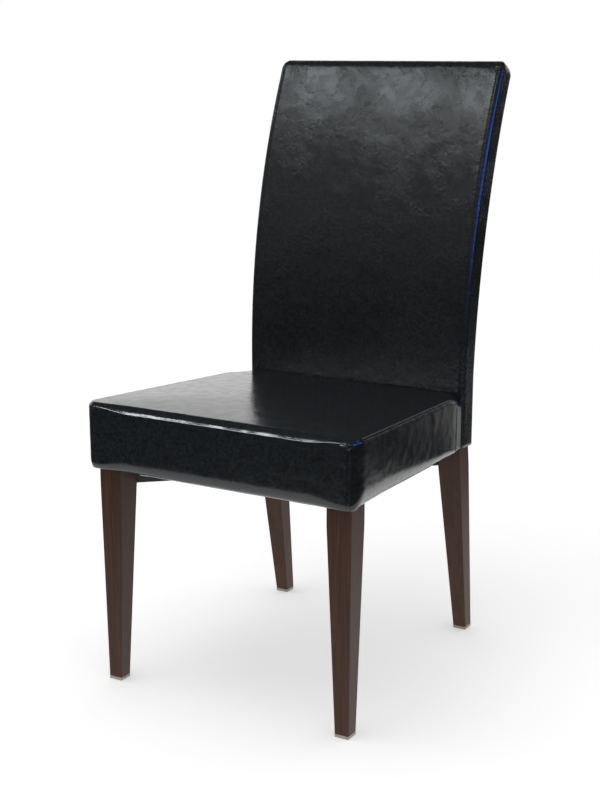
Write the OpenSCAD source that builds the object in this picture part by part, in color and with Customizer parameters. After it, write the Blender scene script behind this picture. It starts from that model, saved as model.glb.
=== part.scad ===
// Upholstered restaurant chair with a high curved back, on tapered timber legs.
// Millimetres, +Z up. The front faces -Y. The origin is on the floor, under the
// middle of the chair's box. Inside the file, y = 0 is the front of the front legs.

/* [Seat] */
// Height of the seat's top edge at the front
seat_front_h = 476; // [440:2:520]
// Height of the seat's top edge at the back
seat_rear_h = 452; // [436:2:500]
// Height of the side band at the front, from the leather's lower edge to the seat's
band_front_h = 109; // [90:1:130]
// Height of the side band at the back
band_rear_h = 96; // [84:1:115]
// Width over the side bands at the front
seat_front_w = 494; // [460:2:540]
// Width over the side bands at the back
seat_rear_w = 432; // [428:2:460]
// Depth from the front band to the face of the back
seat_depth = 446; // [400:2:500]
// How far the front band stands ahead of the front legs
front_overhang = 17; // [14:1:26]
// How far the leather draws in at the lower front corners
hem_draw_front = 6; // [4:0.5:10]
// How far the leather draws in at the lower rear corners
hem_draw_rear = 3; // [2:0.5:5]
// Radius of the rounded front corners in plan
corner_r = 24; // [16:1:32]
// Radius of the roll along the front edge
front_roll_r = 20; // [12:1:22]
// Radius of the seamed edges along the sides
side_roll_r = 9; // [6:0.5:14]
// Rise of the cushion in the middle
seat_crown = 6; // [0:0.5:14]

/* [Back] */
// Height of the top of the back
overall_h = 1000; // [940:5:1080]
// Width of the back at the seat
back_w_low = 426; // [422:2:440]
// Width of the back at the top
back_w_top = 434; // [422:2:450]
// Thickness of the back at the seat
back_th_low = 43; // [42:0.5:50]
// Thickness of the back at the top
back_th_top = 40; // [40:0.5:48]
// Extra thickness half way up
back_swell = 5; // [0:0.5:10]
// Radius of the backward curve
back_curve_r = 1215; // [1000:5:1600]
// Height at which the backward curve starts
back_curve_h = 465; // [456:1:475]
// Radius of the long edges of the back
back_edge_r = 6; // [5:0.5:8]
// Radius of the two top corners seen from the front
back_top_corner_r = 15; // [8:1:18]

/* [Legs] */
// Width of each leg where it meets the seat
leg_w = 42; // [38:1:44]
// Width of each leg at the floor
foot_w = 24; // [18:1:32]
// Depth of a rear leg where it meets the seat
rear_leg_d = 38.5; // [36:0.5:40]
// Distance from the side band to a front leg at the seat
leg_side_inset = 17; // [14:0.5:20]
// How far a front foot stands in from the top of its leg
front_foot_in = 4; // [0:0.5:10]
// How far a front foot stands back from the top of its leg
front_foot_back = 3.5; // [0:0.5:8]
// How far a rear foot stands behind the top of its leg
rear_splay = 64; // [40:1:90]
// How far a rear foot stands in from the top of its leg
rear_foot_in = 7; // [0:0.5:12]
// Distance from the side of the back to its post
post_inset = 7; // [6.5:0.5:9]
// Gap from the face of the back to the face of the rear leg
post_tuck = 1.3; // [0.8:0.1:2]
// Thickness of a glide
glide_h = 5; // [3:0.5:8]

/* [Seat frame] */
// Height of the seat rails
rail_h = 45; // [40:1:50]
// Thickness of the seat rails
rail_th = 22; // [18:0.5:24]
// Distance from a leg's outer face to the face of a rail
rail_set_in = 2.5; // [1:0.5:4]
// Height of the corner blocks
block_h = 25; // [20:1:32]
// Length of a corner block along each rail
block_reach = 52; // [46:1:60]
// Thickness of the plywood seat board
board_th = 10; // [8:1:14]
// Thickness of the fibre strip that holds the hem
strip_th = 2; // [1:0.1:2.5]
// Width of the fibre strip that holds the hem
strip_w = 12; // [10:1:16]
// Distance from a front leg to the end of the front fibre strip
front_strip_gap = 42; // [10:1:50]
// Thickness of the dust cover
dust_th = 1; // [0.6:0.1:1.4]

/* [Back frame] */
// Depth of foam, from the leather's face to the back panel
back_foam_d = 12; // [10:0.5:12]
// Thickness of the bent plywood back panel
panel_th = 3; // [2.5:0.5:4]
// Thickness of the posts and cross rails of the back
post_th = 19; // [17:0.5:19]
// Thickness of the rear fibreboard
rear_panel_th = 2.5; // [2:0.5:2.5]
// Width of a post at the top of the back
post_w_top = 30; // [26:1:36]
// Height of each cross rail of the back
cross_rail_h = 46; // [36:1:56]

/* [Leather] */
// Thickness of the leather with its backing
leather_th = 1.5; // [1:0.1:2]

/* [Cross brace] */
// Thickness of the two steel straps
strap_th = 3; // [2:0.5:4]
// Height of the two steel straps, set on edge
strap_h = 26; // [24:1:30]
// Distance from the hem down to the straps
strap_drop = 4; // [4:0.5:8]
// How much further below the hem the straps lie at the back
strap_fall = 8; // [0:1:12]
// Length of the tab that screws to a leg
tab_len = 26; // [22:1:28]

/* [Fasteners] */
// Diameter of the dowels
dowel_d = 8; // [6:0.5:10]
// Length of the dowels
dowel_len = 36; // [28:1:40]
// Shank diameter of the wood screws
screw_d = 4; // [3:0.5:5]
// Head diameter of the wood screws
screw_head_d = 8; // [7:0.5:10]
// Height of the screw heads
screw_head_h = 2.5; // [2:0.25:3]
// Length of the frame screws
screw_len = 34; // [28:1:36]
// Length of the brace and panel screws
short_screw_len = 15; // [12:0.5:16]

/* [Hidden] */

// Working clearances
fit = 0.15;        // round a dowel or screw in its hole
soft_gap = 0.3;    // between foam and what lies against it
big = 3000;        // longer than the whole chair
open_len = 60;     // the length of a hole that opens outward
pair_shares = [0.28, 0.72];  // where two fasteners sit along a joint

// Where the main faces stand
hem_front_h = seat_front_h - band_front_h;
hem_rear_h = seat_rear_h - band_rear_h;
front_y = -front_overhang;
back_y = front_y + seat_depth;
post_y = back_y + post_tuck;
front_out = seat_front_w / 2 - leg_side_inset;
front_in = front_out - leg_w;
rear_out = back_w_low / 2 - post_inset;
rear_in = rear_out - leg_w;
strap_zone = strap_drop + strap_h + 2;
taper_h = hem_front_h - strap_zone;
rear_taper_h = hem_rear_h - strap_zone - strap_fall;

// Heights above the hem plane
rail_t1 = rail_h;
board_t = rail_t1 + board_th;
block_t0 = rail_t1 - block_h;

// Height of the hem plane, which falls toward the back
function hem_z(y) = hem_front_h - (hem_front_h - hem_rear_h) * (y - front_y) / seat_depth;

// Height of the seat's top edge above any point
function edge_z(y) = seat_front_h - (seat_front_h - seat_rear_h) * (y - front_y) / seat_depth;

// Inner and outer faces of the side rails at any depth
function rail_out(y) = front_out - rail_set_in
  - (front_out - rear_out) * (y - leg_w) / (post_y - leg_w);
function rail_in(y) = rail_out(y) - rail_th;

module both_sides(left = true, right = true) {
  if (left) mirror([1, 0, 0]) children();
  if (right) children();
}

// A slab between two heights above the hem plane, cut to a plan outline. It may
// fall further than the hem does toward the back.
module raked(t0, t1, fall = 0) {
  front_z = hem_z(-big) + fall * big / post_y;
  rear_z = hem_z(big) - fall * big / post_y;
  intersection() {
    linear_extrude(height = overall_h) children();
    rotate([90, 0, 90])
      linear_extrude(height = big, center = true)
        polygon([[-big, front_z + t0], [big, rear_z + t0], [big, rear_z + t1], [-big, front_z + t1]]);
  }
}

// A prism of a side view, extruded across the chair
module side_view(points) {
  rotate([90, 0, 90]) linear_extrude(height = big, center = true) polygon(points);
}

// A prism of a front view, extruded from front to back
module front_view(points) {
  rotate([90, 0, 0]) linear_extrude(height = big, center = true) polygon(points);
}

// A rod along X, Y or Z that starts at a point
module rod(at, dir, r, len) {
  translate(at)
    rotate(dir == "x" ? [0, 90, 0] : dir == "y" ? [-90, 0, 0] : [0, 0, 0])
      cylinder(r = r, h = len, $fn = 32);
}

// A wood screw that points along its own +Z, with its head below the start
module screw(len, r = screw_d / 2) {
  cylinder(r = r, h = len, $fn = 24);
  translate([0, 0, -screw_head_h]) cylinder(r = screw_head_d / 2, h = screw_head_h, $fn = 32);
}

// The hole for a screw, with a seat for its head that opens outward
module screw_hole(len, seat = open_len) {
  translate([0, 0, -fit]) cylinder(r = screw_d / 2 + fit, h = len + 2 * fit, $fn = 24);
  translate([0, 0, -seat]) cylinder(r = screw_head_d / 2 + fit, h = seat, $fn = 32);
}

// Dowels of the seat frame, drawn for the right side: start point and direction
half_dowel = dowel_len / 2;
front_rail_y = rail_set_in + rail_th / 2;
rear_rail_y = post_y + rear_leg_d - rail_set_in - rail_th / 2;
seat_dowel_list = [for (t = rail_h * pair_shares) each [
  [[front_in - half_dowel, front_rail_y, hem_z(front_rail_y) + t], "x"],
  [[rear_in - half_dowel, rear_rail_y, hem_z(rear_rail_y) + t], "x"],
  [[(rail_in(leg_w) + rail_out(leg_w)) / 2, leg_w - half_dowel, hem_z(leg_w) + t], "y"],
  [[(rail_in(post_y) + rail_out(post_y)) / 2, post_y - half_dowel, hem_z(post_y) + t], "y"]]];

module seat_dowel_rods(r, extra) {
  for (d = seat_dowel_list)
    rod(d[0] - (d[1] == "x" ? [extra, 0, 0] : [0, extra, 0]), d[1], r, dowel_len + 2 * extra);
}

module seat_dowel_holes() { seat_dowel_rods(dowel_d / 2 + fit, 1); }

// Screws of one front and one rear corner block: place and turn, right side
block_mid = block_t0 + block_h * 0.35;
along_rail = block_reach * 0.55;
from_rail = block_reach * 0.31;
from_leg = block_reach * 0.12;
block_screw_frames = [
  [[front_in - along_rail, rail_set_in + rail_th + from_rail, hem_z(0) + block_mid], [90, 0, 0]],
  [[front_in - from_leg, leg_w + along_rail, hem_z(leg_w) + block_mid], [0, 90, 0]],
  [[rear_in - along_rail, rear_rail_y - rail_th / 2 - from_rail, hem_z(post_y) + block_mid],
   [-90, 0, 0]],
  [[rear_in - from_leg, post_y - along_rail, hem_z(post_y) + block_mid], [0, 90, 0]]];

module block_screw_set(hole = false) {
  for (f = block_screw_frames)
    translate(f[0]) rotate(f[1])
      if (hole) screw_hole(screw_len); else screw(screw_len);
}

// Screws that rise through the corner blocks into the seat board, right side
board_screw_xy = [
  [front_in - block_reach * 0.2, rail_set_in + rail_th + block_reach * 0.42],
  [rear_in - from_leg, post_y - block_reach * 0.25]];
board_screw_len = block_h + board_th * 0.7;

module board_screw_set(hole = false) {
  for (p = board_screw_xy)
    translate([p[0], p[1], hem_z(p[1]) + block_t0 + soft_gap])
      if (hole) screw_hole(board_screw_len); else screw(board_screw_len);
}

// Screws of the brace tabs, right side: place and turn. They enter the front leg
// from behind and the rear leg from its inner face.
tab_inset = 4;
tab_front_y = leg_w;
tab_rear_y = post_y + tab_inset;
function strap_mid_z(y) = hem_z(y) - strap_fall * y / post_y - strap_drop - strap_h / 2;
tab_screw_frames = [for (s = pair_shares) each [
  [[front_in + tab_len * s, tab_front_y + strap_th, strap_mid_z(tab_front_y)], [90, 0, 0]],
  [[rear_in - strap_th, tab_rear_y + tab_len * s, strap_mid_z(tab_rear_y)], [0, 90, 0]]]];

module tab_screw_set(hole = false) {
  for (f = tab_screw_frames)
    translate(f[0]) rotate(f[1])
      if (hole) screw_hole(short_screw_len); else screw(short_screw_len);
}

// The curve of the back: a point at a depth behind the leather's face, at an angle
crest_r = back_th_top / 2;
crest_angles = [25, 50, 70, 84];
crest_a = asin((overall_h - crest_r - back_curve_h) / (back_curve_r - crest_r));
arc_steps = 12;
arc_angles = [for (i = [0:arc_steps]) crest_a * i / arc_steps];
function arc_pt(depth, a) = [
  back_y + back_curve_r - (back_curve_r - depth) * cos(a),
  back_curve_h + (back_curve_r - depth) * sin(a)];

// Thickness and width of the back at a share of its height
function back_th(s) = back_th_low + (back_th_top - back_th_low) * s + back_swell * sin(180 * s);
function back_half_w(s) = (back_w_low + (back_w_top - back_w_low) * s) / 2;

// Depths of the layers inside the back
panel_d = back_foam_d;
frame_d0 = panel_d + panel_th;
frame_d1 = frame_d0 + post_th;
rear_panel_d1 = frame_d1 + rear_panel_th;

// A band that follows the back's curve between two depths, down to a height
module back_band(d0, d1, z0, z1, half_w) {
  intersection() {
    translate([-half_w, 0, z0]) cube([2 * half_w, big / 2, z1 - z0]);
    side_view(concat(
      [[back_y + d0, 0]], [for (a = arc_angles) arc_pt(d0, a)],
      [for (i = [arc_steps:-1:0]) arc_pt(d1, arc_angles[i])], [[back_y + d1, 0]]));
  }
}

// Cross rails of the back, and where their dowels and screws are
low_rail_rise = 24;
panel_rise = 8;
low_rail_z = seat_rear_h + low_rail_rise;
mid_rail_z = (back_curve_h + overall_h) / 2 - cross_rail_h / 2;
top_rail_z1 = arc_pt(frame_d1, crest_a)[1];
top_rail_z0 = top_rail_z1 - cross_rail_h;
panel_z0 = seat_rear_h + panel_rise;
panel_z1 = top_rail_z1;
post_in_top = rear_out - post_w_top;
cross_rail_zs = [low_rail_z, mid_rail_z, top_rail_z0];

// Angle on the curve at which the frame's middle reaches a height
frame_mid = (frame_d0 + frame_d1) / 2;
function angle_at(z) = z < back_curve_h ? 0 : asin((z - back_curve_h) / (back_curve_r - frame_mid));

back_dowel_len = dowel_len * 0.6;
module back_dowel_rods(r, extra) {
  for (z = cross_rail_zs)
    for (s = pair_shares) {
      p = arc_pt(frame_mid, angle_at(z + cross_rail_h * s));
      rod([post_in_top - back_dowel_len / 2 - extra, p[0], p[1]], "x", r,
          back_dowel_len + 2 * extra);
    }
}

module back_dowel_holes() { back_dowel_rods(dowel_d / 2 + fit, 1); }

// Screws through the plywood panel into the posts, right side
panel_screw_margin = 35;
panel_screw_gap = (panel_z1 - panel_z0 - 2 * panel_screw_margin) / 3;
panel_screw_zs = [for (i = [0:3]) panel_z0 + panel_screw_margin + panel_screw_gap * i];
module panel_screw_set(hole = false) {
  for (z = panel_screw_zs) {
    a = angle_at(z);
    p = arc_pt(panel_d, a);
    translate([rear_out - post_w_top / 2, p[0], p[1]]) rotate([-90 - a, 0, 0])
      if (hole) screw_hole(short_screw_len, 1); else screw(short_screw_len);
  }
}

// Closed solid through a stack of rings, each end closed by a fan to its middle
module loft(rings) {
  n = len(rings[0]);
  m = len(rings);
  pole_a = mean(rings[0]);
  pole_b = mean(rings[m - 1]);
  points = concat([pole_a], [for (r = rings) each r], [pole_b]);
  faces = concat(
    [for (i = [0:n - 1]) [0, 1 + (i + 1) % n, 1 + i]],
    [for (j = [0:m - 2]) for (i = [0:n - 1]) each [
      [1 + j * n + i, 1 + j * n + (i + 1) % n, 1 + (j + 1) * n + i],
      [1 + j * n + (i + 1) % n, 1 + (j + 1) * n + (i + 1) % n, 1 + (j + 1) * n + i]]],
    [for (i = [0:n - 1]) [1 + (m - 1) * n + i, 1 + (m - 1) * n + (i + 1) % n, 1 + m * n]]);
  polyhedron(points, faces, convexity = 10);
}

function mean(ring) = [for (k = [0:2]) sum([for (p = ring) p[k]]) / len(ring)];
function sum(list, i = 0, total = 0) = i < len(list) ? sum(list, i + 1, total + list[i]) : total;

// Plan outline of the seat, set in by d. Each entry is x, y, the roll radius of
// its top edge, and 1 where the leather hangs down to the hem or 0 at the back.
front_cols = 6;
corner_cols = 5;
side_cols = 6;
rear_cols = 4;
function seat_half_w(y) = (seat_front_w - (seat_front_w - seat_rear_w)
  * max(0, y - front_y - corner_r) / (seat_depth - corner_r)) / 2;
function seat_corner(d, k) =
  let (r = max(corner_r - d, 1), a = 90 * k / (corner_cols - 1),
       cx = seat_half_w(front_y) - corner_r, cy = front_y + corner_r)
  [cx + r * sin(a), cy - r * cos(a),
   front_roll_r + (side_roll_r - front_roll_r) * k / (corner_cols - 1), 1];
function seat_side(d, k) =
  let (y0 = leg_w + 2, y1 = back_y - soft_gap - d - 1,
       y = y0 + (y1 - y0) * (k - 1) / (side_cols - 1))
  [seat_half_w(y) - d, y, side_roll_r, 1];
function seat_rear_corner(d) = [seat_half_w(back_y) - d - 1, back_y - soft_gap - d, side_roll_r, 1];
function front_pt(d, k) =
  [(seat_half_w(front_y) - corner_r) * k / front_cols, front_y + d, front_roll_r, 1];
function seat_half_outline(d) = concat(
  [for (k = [1:front_cols - 1]) front_pt(d, k)],
  [for (k = [0:corner_cols - 1]) seat_corner(d, k)],
  [for (k = [1:side_cols]) seat_side(d, k)],
  [seat_rear_corner(d)],
  [for (k = [rear_cols:-1:1])
    [(seat_half_w(back_y) - 8 - d) * k / rear_cols, back_y - soft_gap - d, side_roll_r, 0]]);
function mirrored(list) = [for (p = reversed(list)) [-p[0], p[1], p[2], p[3]]];
function seat_outline(d) = concat([front_pt(d, 0)], seat_half_outline(d),
  [[0, back_y - soft_gap - d, side_roll_r, 0]], mirrored(seat_half_outline(d)));

// How far the leather is drawn in at a share of the band's height
function hem_draw(y) = hem_draw_front
  + (hem_draw_rear - hem_draw_front) * (y - front_y) / seat_depth;
band_shares = [0, 0.05, 0.14, 0.5];
function band_draw(u) = pow(1 - min(u / band_shares[2], 1), 2);

// Rings of the seat's skin from the hem to the middle of the top, set in by inset.
// At the back, the skin starts above the seat board.
roll_angles = [0, 30, 60, 90];
top_scales = [0.8, 0.5, 0.2];
function band_pt(p, inset, u) =
  let (start = p[3] == 1 ? 0 : board_t + soft_gap, draw = p[3] * hem_draw(p[1]) * band_draw(u),
       z0 = hem_z(p[1]) + start, z1 = edge_z(p[1]) - inset - p[2])
  [p[0] * (1 - draw / (seat_front_w / 2)), p[1] + draw * front_share(p[1]), z0 + (z1 - z0) * u];
function seat_band_ring(inset, u) = [for (p = seat_outline(inset)) band_pt(p, inset, u)];
function front_share(y) = max(0, 1 - (y - front_y) / corner_r);
function seat_roll_ring(inset, a) =
  let (outer = seat_outline(inset), inner = seat_outline(inset + 1))
  [for (i = [0:len(outer) - 1])
    let (p = outer[i], q = inner[i], r = p[2], in = r * (1 - cos(a)))
    [p[0] + (q[0] - p[0]) * in, p[1] + (q[1] - p[1]) * in,
     edge_z(p[1]) - inset - r + r * sin(a)]];
function seat_top_ring(inset, s) =
  let (rim = seat_roll_ring(inset, 90), cy = (front_y + back_y) / 2)
  [for (p = rim)
    let (x = p[0] * s, y = cy + (p[1] - cy) * s)
    [x, y, edge_z(y) - inset + (p[2] - edge_z(p[1]) + inset) * s + seat_crown * (1 - s * s)]];
function seat_skin(inset) = concat(
  [for (u = band_shares) seat_band_ring(inset, u)],
  [for (a = roll_angles) seat_roll_ring(inset, a)],
  [for (s = top_scales) seat_top_ring(inset, s)]);

// Rings of the back's skin from the hem to the crest, set in by inset
back_front_cols = 6;
edge_angles = [0, 30, 60, 90];
function back_section(s, inset) =
  let (w = back_half_w(s), t = back_th(s), r = back_edge_r, ri = max(r - inset, 0.5))
  concat(
    [for (k = [0:back_front_cols]) [(w - r) * (2 * k / back_front_cols - 1), inset, 0]],
    [for (a = edge_angles) if (a > 0) [w - r + ri * sin(a), r - ri * cos(a), 1]],
    [for (a = edge_angles) [w - r + ri * cos(a), t - r + ri * sin(a), 1]],
    [for (k = [1:3]) [(w - r) * (1 - k / 2), t - inset, 1]],
    [for (a = edge_angles) if (a > 0) [-(w - r) - ri * sin(a), t - r + ri * cos(a), 1]],
    [for (a = edge_angles) if (a < 90) [-(w - r) - ri * cos(a), r - ri * sin(a), 1]]);
tuck_depth = 22;
tuck_z = seat_rear_h - tuck_depth;
function back_low_ring(inset, u) =
  [for (p = back_section(0, inset))
    let (y = back_y + p[1], z0 = p[2] == 1 ? hem_z(y) : tuck_z)
    [p[0], y, z0 + (back_curve_h - z0) * u]];
function back_arc_ring(inset, i) =
  [for (p = back_section(i / arc_steps, inset))
    let (q = arc_pt(p[1], arc_angles[i])) [p[0], q[0], q[1]]];
function back_crest_ring(inset, f) =
  let (half = crest_r, rim = half - inset)
  [for (p = back_section(1, inset))
    let (n = half + (p[1] - half) * cos(f), q = arc_pt(n, crest_a), lift = rim * sin(f),
         w = back_half_w(1), x = p[0] * (1 - back_top_corner_r * (1 - cos(f)) / w))
    [x, q[0] + lift * sin(crest_a), q[1] + lift * cos(crest_a)]];
function back_rings(inset) = concat(
  [for (u = [0, 0.5]) back_low_ring(inset, u)],
  [for (i = [0:arc_steps]) back_arc_ring(inset, i)],
  [for (f = crest_angles) back_crest_ring(inset, f)]);

function reversed(list) = [for (i = [len(list) - 1:-1:0]) list[i]];

// The chair's box is centred on the origin
rear_y = max([for (ring = back_rings(0)) for (p = ring) p[1]]);
mid_y = (front_y + rear_y) / 2;

module place() { translate([0, -mid_y, 0]) children(); }

// Legs and posts

module front_leg() {
  color("#4a3226")
  difference() {
    intersection() {
      front_view([[front_in, overall_h], [front_in, taper_h],
                  [front_out - front_foot_in - foot_w, glide_h],
                  [front_out - front_foot_in, glide_h],
                  [front_out, taper_h], [front_out, overall_h]]);
      side_view([[0, overall_h], [0, taper_h], [front_foot_back, glide_h],
                 [front_foot_back + foot_w, glide_h], [leg_w, taper_h], [leg_w, overall_h]]);
      raked(-hem_front_h, rail_t1) square(big, center = true);
    }
    seat_dowel_holes();
    tab_screw_set(hole = true);
    glide_pin_holes();
  }
}

module rear_post() {
  low_out = rear_out - rear_foot_in;
  color("#4a3226")
  difference() {
    intersection() {
      front_view([[post_in_top, overall_h], [post_in_top, low_rail_z],
                  [rear_in, seat_rear_h], [rear_in, rear_taper_h],
                  [low_out - foot_w, glide_h], [low_out, glide_h],
                  [rear_out, rear_taper_h], [rear_out, overall_h]]);
      side_view(concat(
        [[post_y + rear_splay, glide_h], [post_y, hem_rear_h], [post_y, board_z_rear],
         [back_y + frame_d0, panel_z0 - post_clear]],
        [for (i = [1:arc_steps]) arc_pt(frame_d0, arc_angles[i])],
        [for (i = [arc_steps:-1:1]) arc_pt(frame_d1, arc_angles[i])],
        [[back_y + frame_d1, low_rail_z - panel_rise], [post_y + rear_leg_d, board_z_rear],
         [post_y + rear_leg_d, hem_rear_h], [post_y + rear_splay + foot_w, glide_h]]));
      translate([-big / 2, -big / 2, 0]) cube([big, big, top_rail_z1]);
    }
    seat_dowel_holes();
    back_dowel_holes();
    tab_screw_set(hole = true);
    panel_screw_set(hole = true);
    glide_pin_holes();
  }
}
board_z_rear = hem_z(back_y) + board_t;
post_clear = 2;

// Glides with their pins, right side
pin_r = 2;
pin_len = 14;
function glide_at(rear) = rear
  ? [rear_out - rear_foot_in - foot_w, post_y + rear_splay, 0]
  : [front_out - front_foot_in - foot_w, front_foot_back, 0];

module glide(rear) {
  color("#b9b4ac")
  translate(glide_at(rear)) {
    cube([foot_w, foot_w, glide_h]);
    translate([foot_w / 2, foot_w / 2, 1]) cylinder(r = pin_r, h = glide_h + pin_len, $fn = 24);
  }
}

module glide_pin_holes() {
  for (rear = [false, true])
    translate(glide_at(rear) + [foot_w / 2, foot_w / 2, 0])
      cylinder(r = pin_r + fit, h = glide_h + pin_len + 2, $fn = 24);
}

// Seat frame

module front_rail() {
  color("#c9a36b")
  difference() {
    raked(0, rail_t1)
      translate([-front_in, rail_set_in]) square([2 * front_in, rail_th]);
    both_sides() { seat_dowel_holes(); block_screw_set(hole = true); }
  }
}

module rear_rail() {
  color("#c9a36b")
  difference() {
    raked(0, rail_t1)
      translate([-rear_in, rear_rail_y - rail_th / 2]) square([2 * rear_in, rail_th]);
    both_sides() { seat_dowel_holes(); block_screw_set(hole = true); }
  }
}

module side_rail() {
  color("#c9a36b")
  difference() {
    raked(0, rail_t1)
      polygon([[rail_in(leg_w), leg_w], [rail_out(leg_w), leg_w],
               [rail_out(post_y), post_y], [rail_in(post_y), post_y]]);
    seat_dowel_holes();
    block_screw_set(hole = true);
  }
}

module front_corner_block() {
  y0 = rail_set_in + rail_th;
  y1 = leg_w + block_reach;
  color("#b98d55")
  difference() {
    raked(block_t0, rail_t1)
      polygon([[front_in - block_reach, y0], [front_in, y0], [front_in, leg_w],
               [rail_in(leg_w), leg_w], [rail_in(y1), y1]]);
    block_screw_set(hole = true);
    board_screw_set(hole = true);
  }
}

module rear_corner_block() {
  y0 = rear_rail_y - rail_th / 2;
  y1 = post_y - block_reach;
  color("#b98d55")
  difference() {
    raked(block_t0, rail_t1)
      polygon([[rear_in - block_reach, y0], [rail_in(y1), y1], [rail_in(post_y), post_y],
               [rear_in, post_y], [rear_in, y0]]);
    block_screw_set(hole = true);
    board_screw_set(hole = true);
  }
}

module seat_board() {
  color("#d6b98a")
  difference() {
    raked(rail_t1, board_t)
      polygon([[-front_out, 0], [front_out, 0], [rear_out, back_y - soft_gap],
               [rear_in - 1, back_y - soft_gap], [rear_in - 1, rear_rail_y + rail_th / 2],
               [1 - rear_in, rear_rail_y + rail_th / 2], [1 - rear_in, back_y - soft_gap],
               [-rear_out, back_y - soft_gap]]);
    both_sides() board_screw_set(hole = true);
  }
}

// Seat upholstery

module seat_foam() {
  inset = leather_th + soft_gap;
  start = board_t;
  rings = concat([seat_flat_ring(inset, start)],
    [for (a = roll_angles) seat_roll_ring(inset, a)],
    [for (s = top_scales) seat_top_ring(inset, s)]);
  color("#e6dcb8") loft(reversed(rings));
}

function seat_flat_ring(inset, t) =
  [for (p = seat_outline(inset)) [p[0], p[1], hem_z(p[1]) + t]];

// Padding round the front and sides of the frame, inside the leather: a section
// that runs from the left rear corner round the front to the right rear corner
module seat_side_padding() {
  inset = leather_th + soft_gap;
  half = concat(
    [for (k = [1:front_cols - 1]) [front_pt(inset, k), [front_out * k / front_cols, -soft_gap]]],
    [for (k = [0:corner_cols - 1])
      [seat_corner(inset, k), pad_corner(90 * k / (corner_cols - 1))]],
    [for (k = [1:side_cols]) let (p = seat_side(inset, k)) [p, [pad_side_x(p[1]), p[1]]]]);
  right = [for (c = half) pad_section(inset, c[0], c[1])];
  left = [for (section = reversed(right)) [for (p = section) [-p[0], p[1], p[2]]]];
  middle = pad_section(inset, front_pt(inset, 0), [0, -soft_gap]);
  color("#e9e4d4") loft(concat(left, [middle], right));
}

// Inner face of the padding, just clear of the leg's corner and the side rail
function pad_corner(a) = [front_out + soft_gap * sin(a), -soft_gap * cos(a)];
function pad_side_x(y) = front_out + soft_gap
  - (front_out - rear_out) * (y - leg_w - 2) / (back_y - leg_w - 2);
function pad_section(inset, p, q) =
  let (z1 = board_t - soft_gap, low = band_pt(p, inset, 0))
  concat([low + [0, 0, soft_gap]], [for (u = [1:3]) band_pt(p, inset, band_shares[u])],
    [[p[0], p[1], hem_z(p[1]) + z1], [q[0], q[1], hem_z(q[1]) + z1],
     [q[0], q[1], hem_z(q[1]) + soft_gap]]);

module seat_cover() {
  outer = seat_skin(0);
  inner = seat_skin(leather_th);
  color("#17181a") loft(concat(reversed(outer), inner));
}

// Lower edge of the leather along the sides and at the front, on its inner face
function hem_edge_x(y) =
  seat_half_w(y) * (1 - hem_draw(y) / (seat_front_w / 2)) - leather_th;
hem_edge_y = front_y + hem_draw_front + leather_th;

// Pale fibre strips under the rails, just below the leather's edge
module hem_strip() {
  lap = leather_th / 3;
  y0 = leg_w + strip_leg_gap;
  y1 = post_y - strip_leg_gap;
  color("#d8d2c2")
  raked(-strip_th, 0) {
    translate([front_strip_gap - front_in, hem_edge_y - lap])
      square([2 * (front_in - front_strip_gap), rail_set_in + strip_w - hem_edge_y + lap]);
    for (s = [-1, 1])
      polygon([[s * (hem_edge_x(y0) + lap), y0], [s * (rail_out(y0) - strip_w), y0],
               [s * (rail_out(y1) - strip_w), y1], [s * (hem_edge_x(y1) + lap), y1]]);
  }
}
strip_leg_gap = 6;

module dust_cover() {
  inset = 8;
  y0 = hem_edge_y + inset;
  color("#2b2c2e")
  raked(-strip_th - dust_th, -strip_th)
    difference() {
      polygon([[inset - hem_edge_x(y0), y0], [hem_edge_x(y0) - inset, y0],
               [hem_edge_x(post_y) - inset, post_y], [rear_in, rear_rail_y],
               [-rear_in, rear_rail_y], [inset - hem_edge_x(post_y), post_y]]);
      for (side = [-1, 1]) {
        translate([side > 0 ? front_in - 1 : -big, y0 - 1])
          square([big - front_in + 1, leg_w - y0 + 2]);
        translate([side > 0 ? rear_in - 1 : -big, post_y - 1])
          square([big - rear_in + 1, rear_leg_d]);
      }
    }
}

// Steel straps that cross under the seat, each slotted for the other half way

module brace_strap(slot_down) {
  y0 = tab_front_y;
  y1 = tab_rear_y;
  half = strap_th / 2;
  start = [-front_in - half, y0 + half];
  end = [rear_in - half, y1 + half];
  run = end - start;
  side = [-run[1], run[0]] / norm(run) * half;
  cross = start + run * -start[0] / run[0];
  t0 = -strap_drop - strap_h;
  slot_t = t0 + strap_h / 2;
  color("#232323")
  difference() {
    raked(t0, -strap_drop, strap_fall)
      union() {
        translate([-front_in - tab_len, y0]) square([tab_len, strap_th]);
        translate([rear_in - strap_th, y1]) square([strap_th, tab_len]);
        polygon([start + side, start - side, end - side, end + side]);
      }
    both_sides() tab_screw_set(hole = true);
    // the slot that takes the other strap
    intersection() {
      raked(slot_down ? t0 - 1 : slot_t - fit, slot_down ? slot_t + fit : 1, strap_fall)
        square(big, center = true);
      translate([cross[0], cross[1], 0]) rotate([0, 0, 180 - atan2(run[1], run[0])])
        translate([-slot_reach, -half - fit, 0])
          cube([2 * slot_reach, strap_th + 2 * fit, overall_h]);
    }
  }
}
slot_reach = 40;

// Back frame

module cross_rail(z) {
  color("#c9a36b")
  difference() {
    back_band(frame_d0, frame_d1, z, z + cross_rail_h, post_in_top);
    both_sides() back_dowel_holes();
  }
}

module back_panel() {
  color("#d6b98a")
  difference() {
    back_band(panel_d, frame_d0, panel_z0, panel_z1, rear_out);
    both_sides() panel_screw_set(hole = true);
  }
}

// The rear fibreboard narrows between the posts, down to the seat board
module back_rear_panel() {
  color("#a98a5e") {
    back_band(frame_d1, rear_panel_d1, low_rail_z, panel_z1, rear_out);
    back_band(frame_d1, rear_panel_d1, board_z_rear, low_rail_z + 1, rear_in - soft_gap);
  }
}

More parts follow.
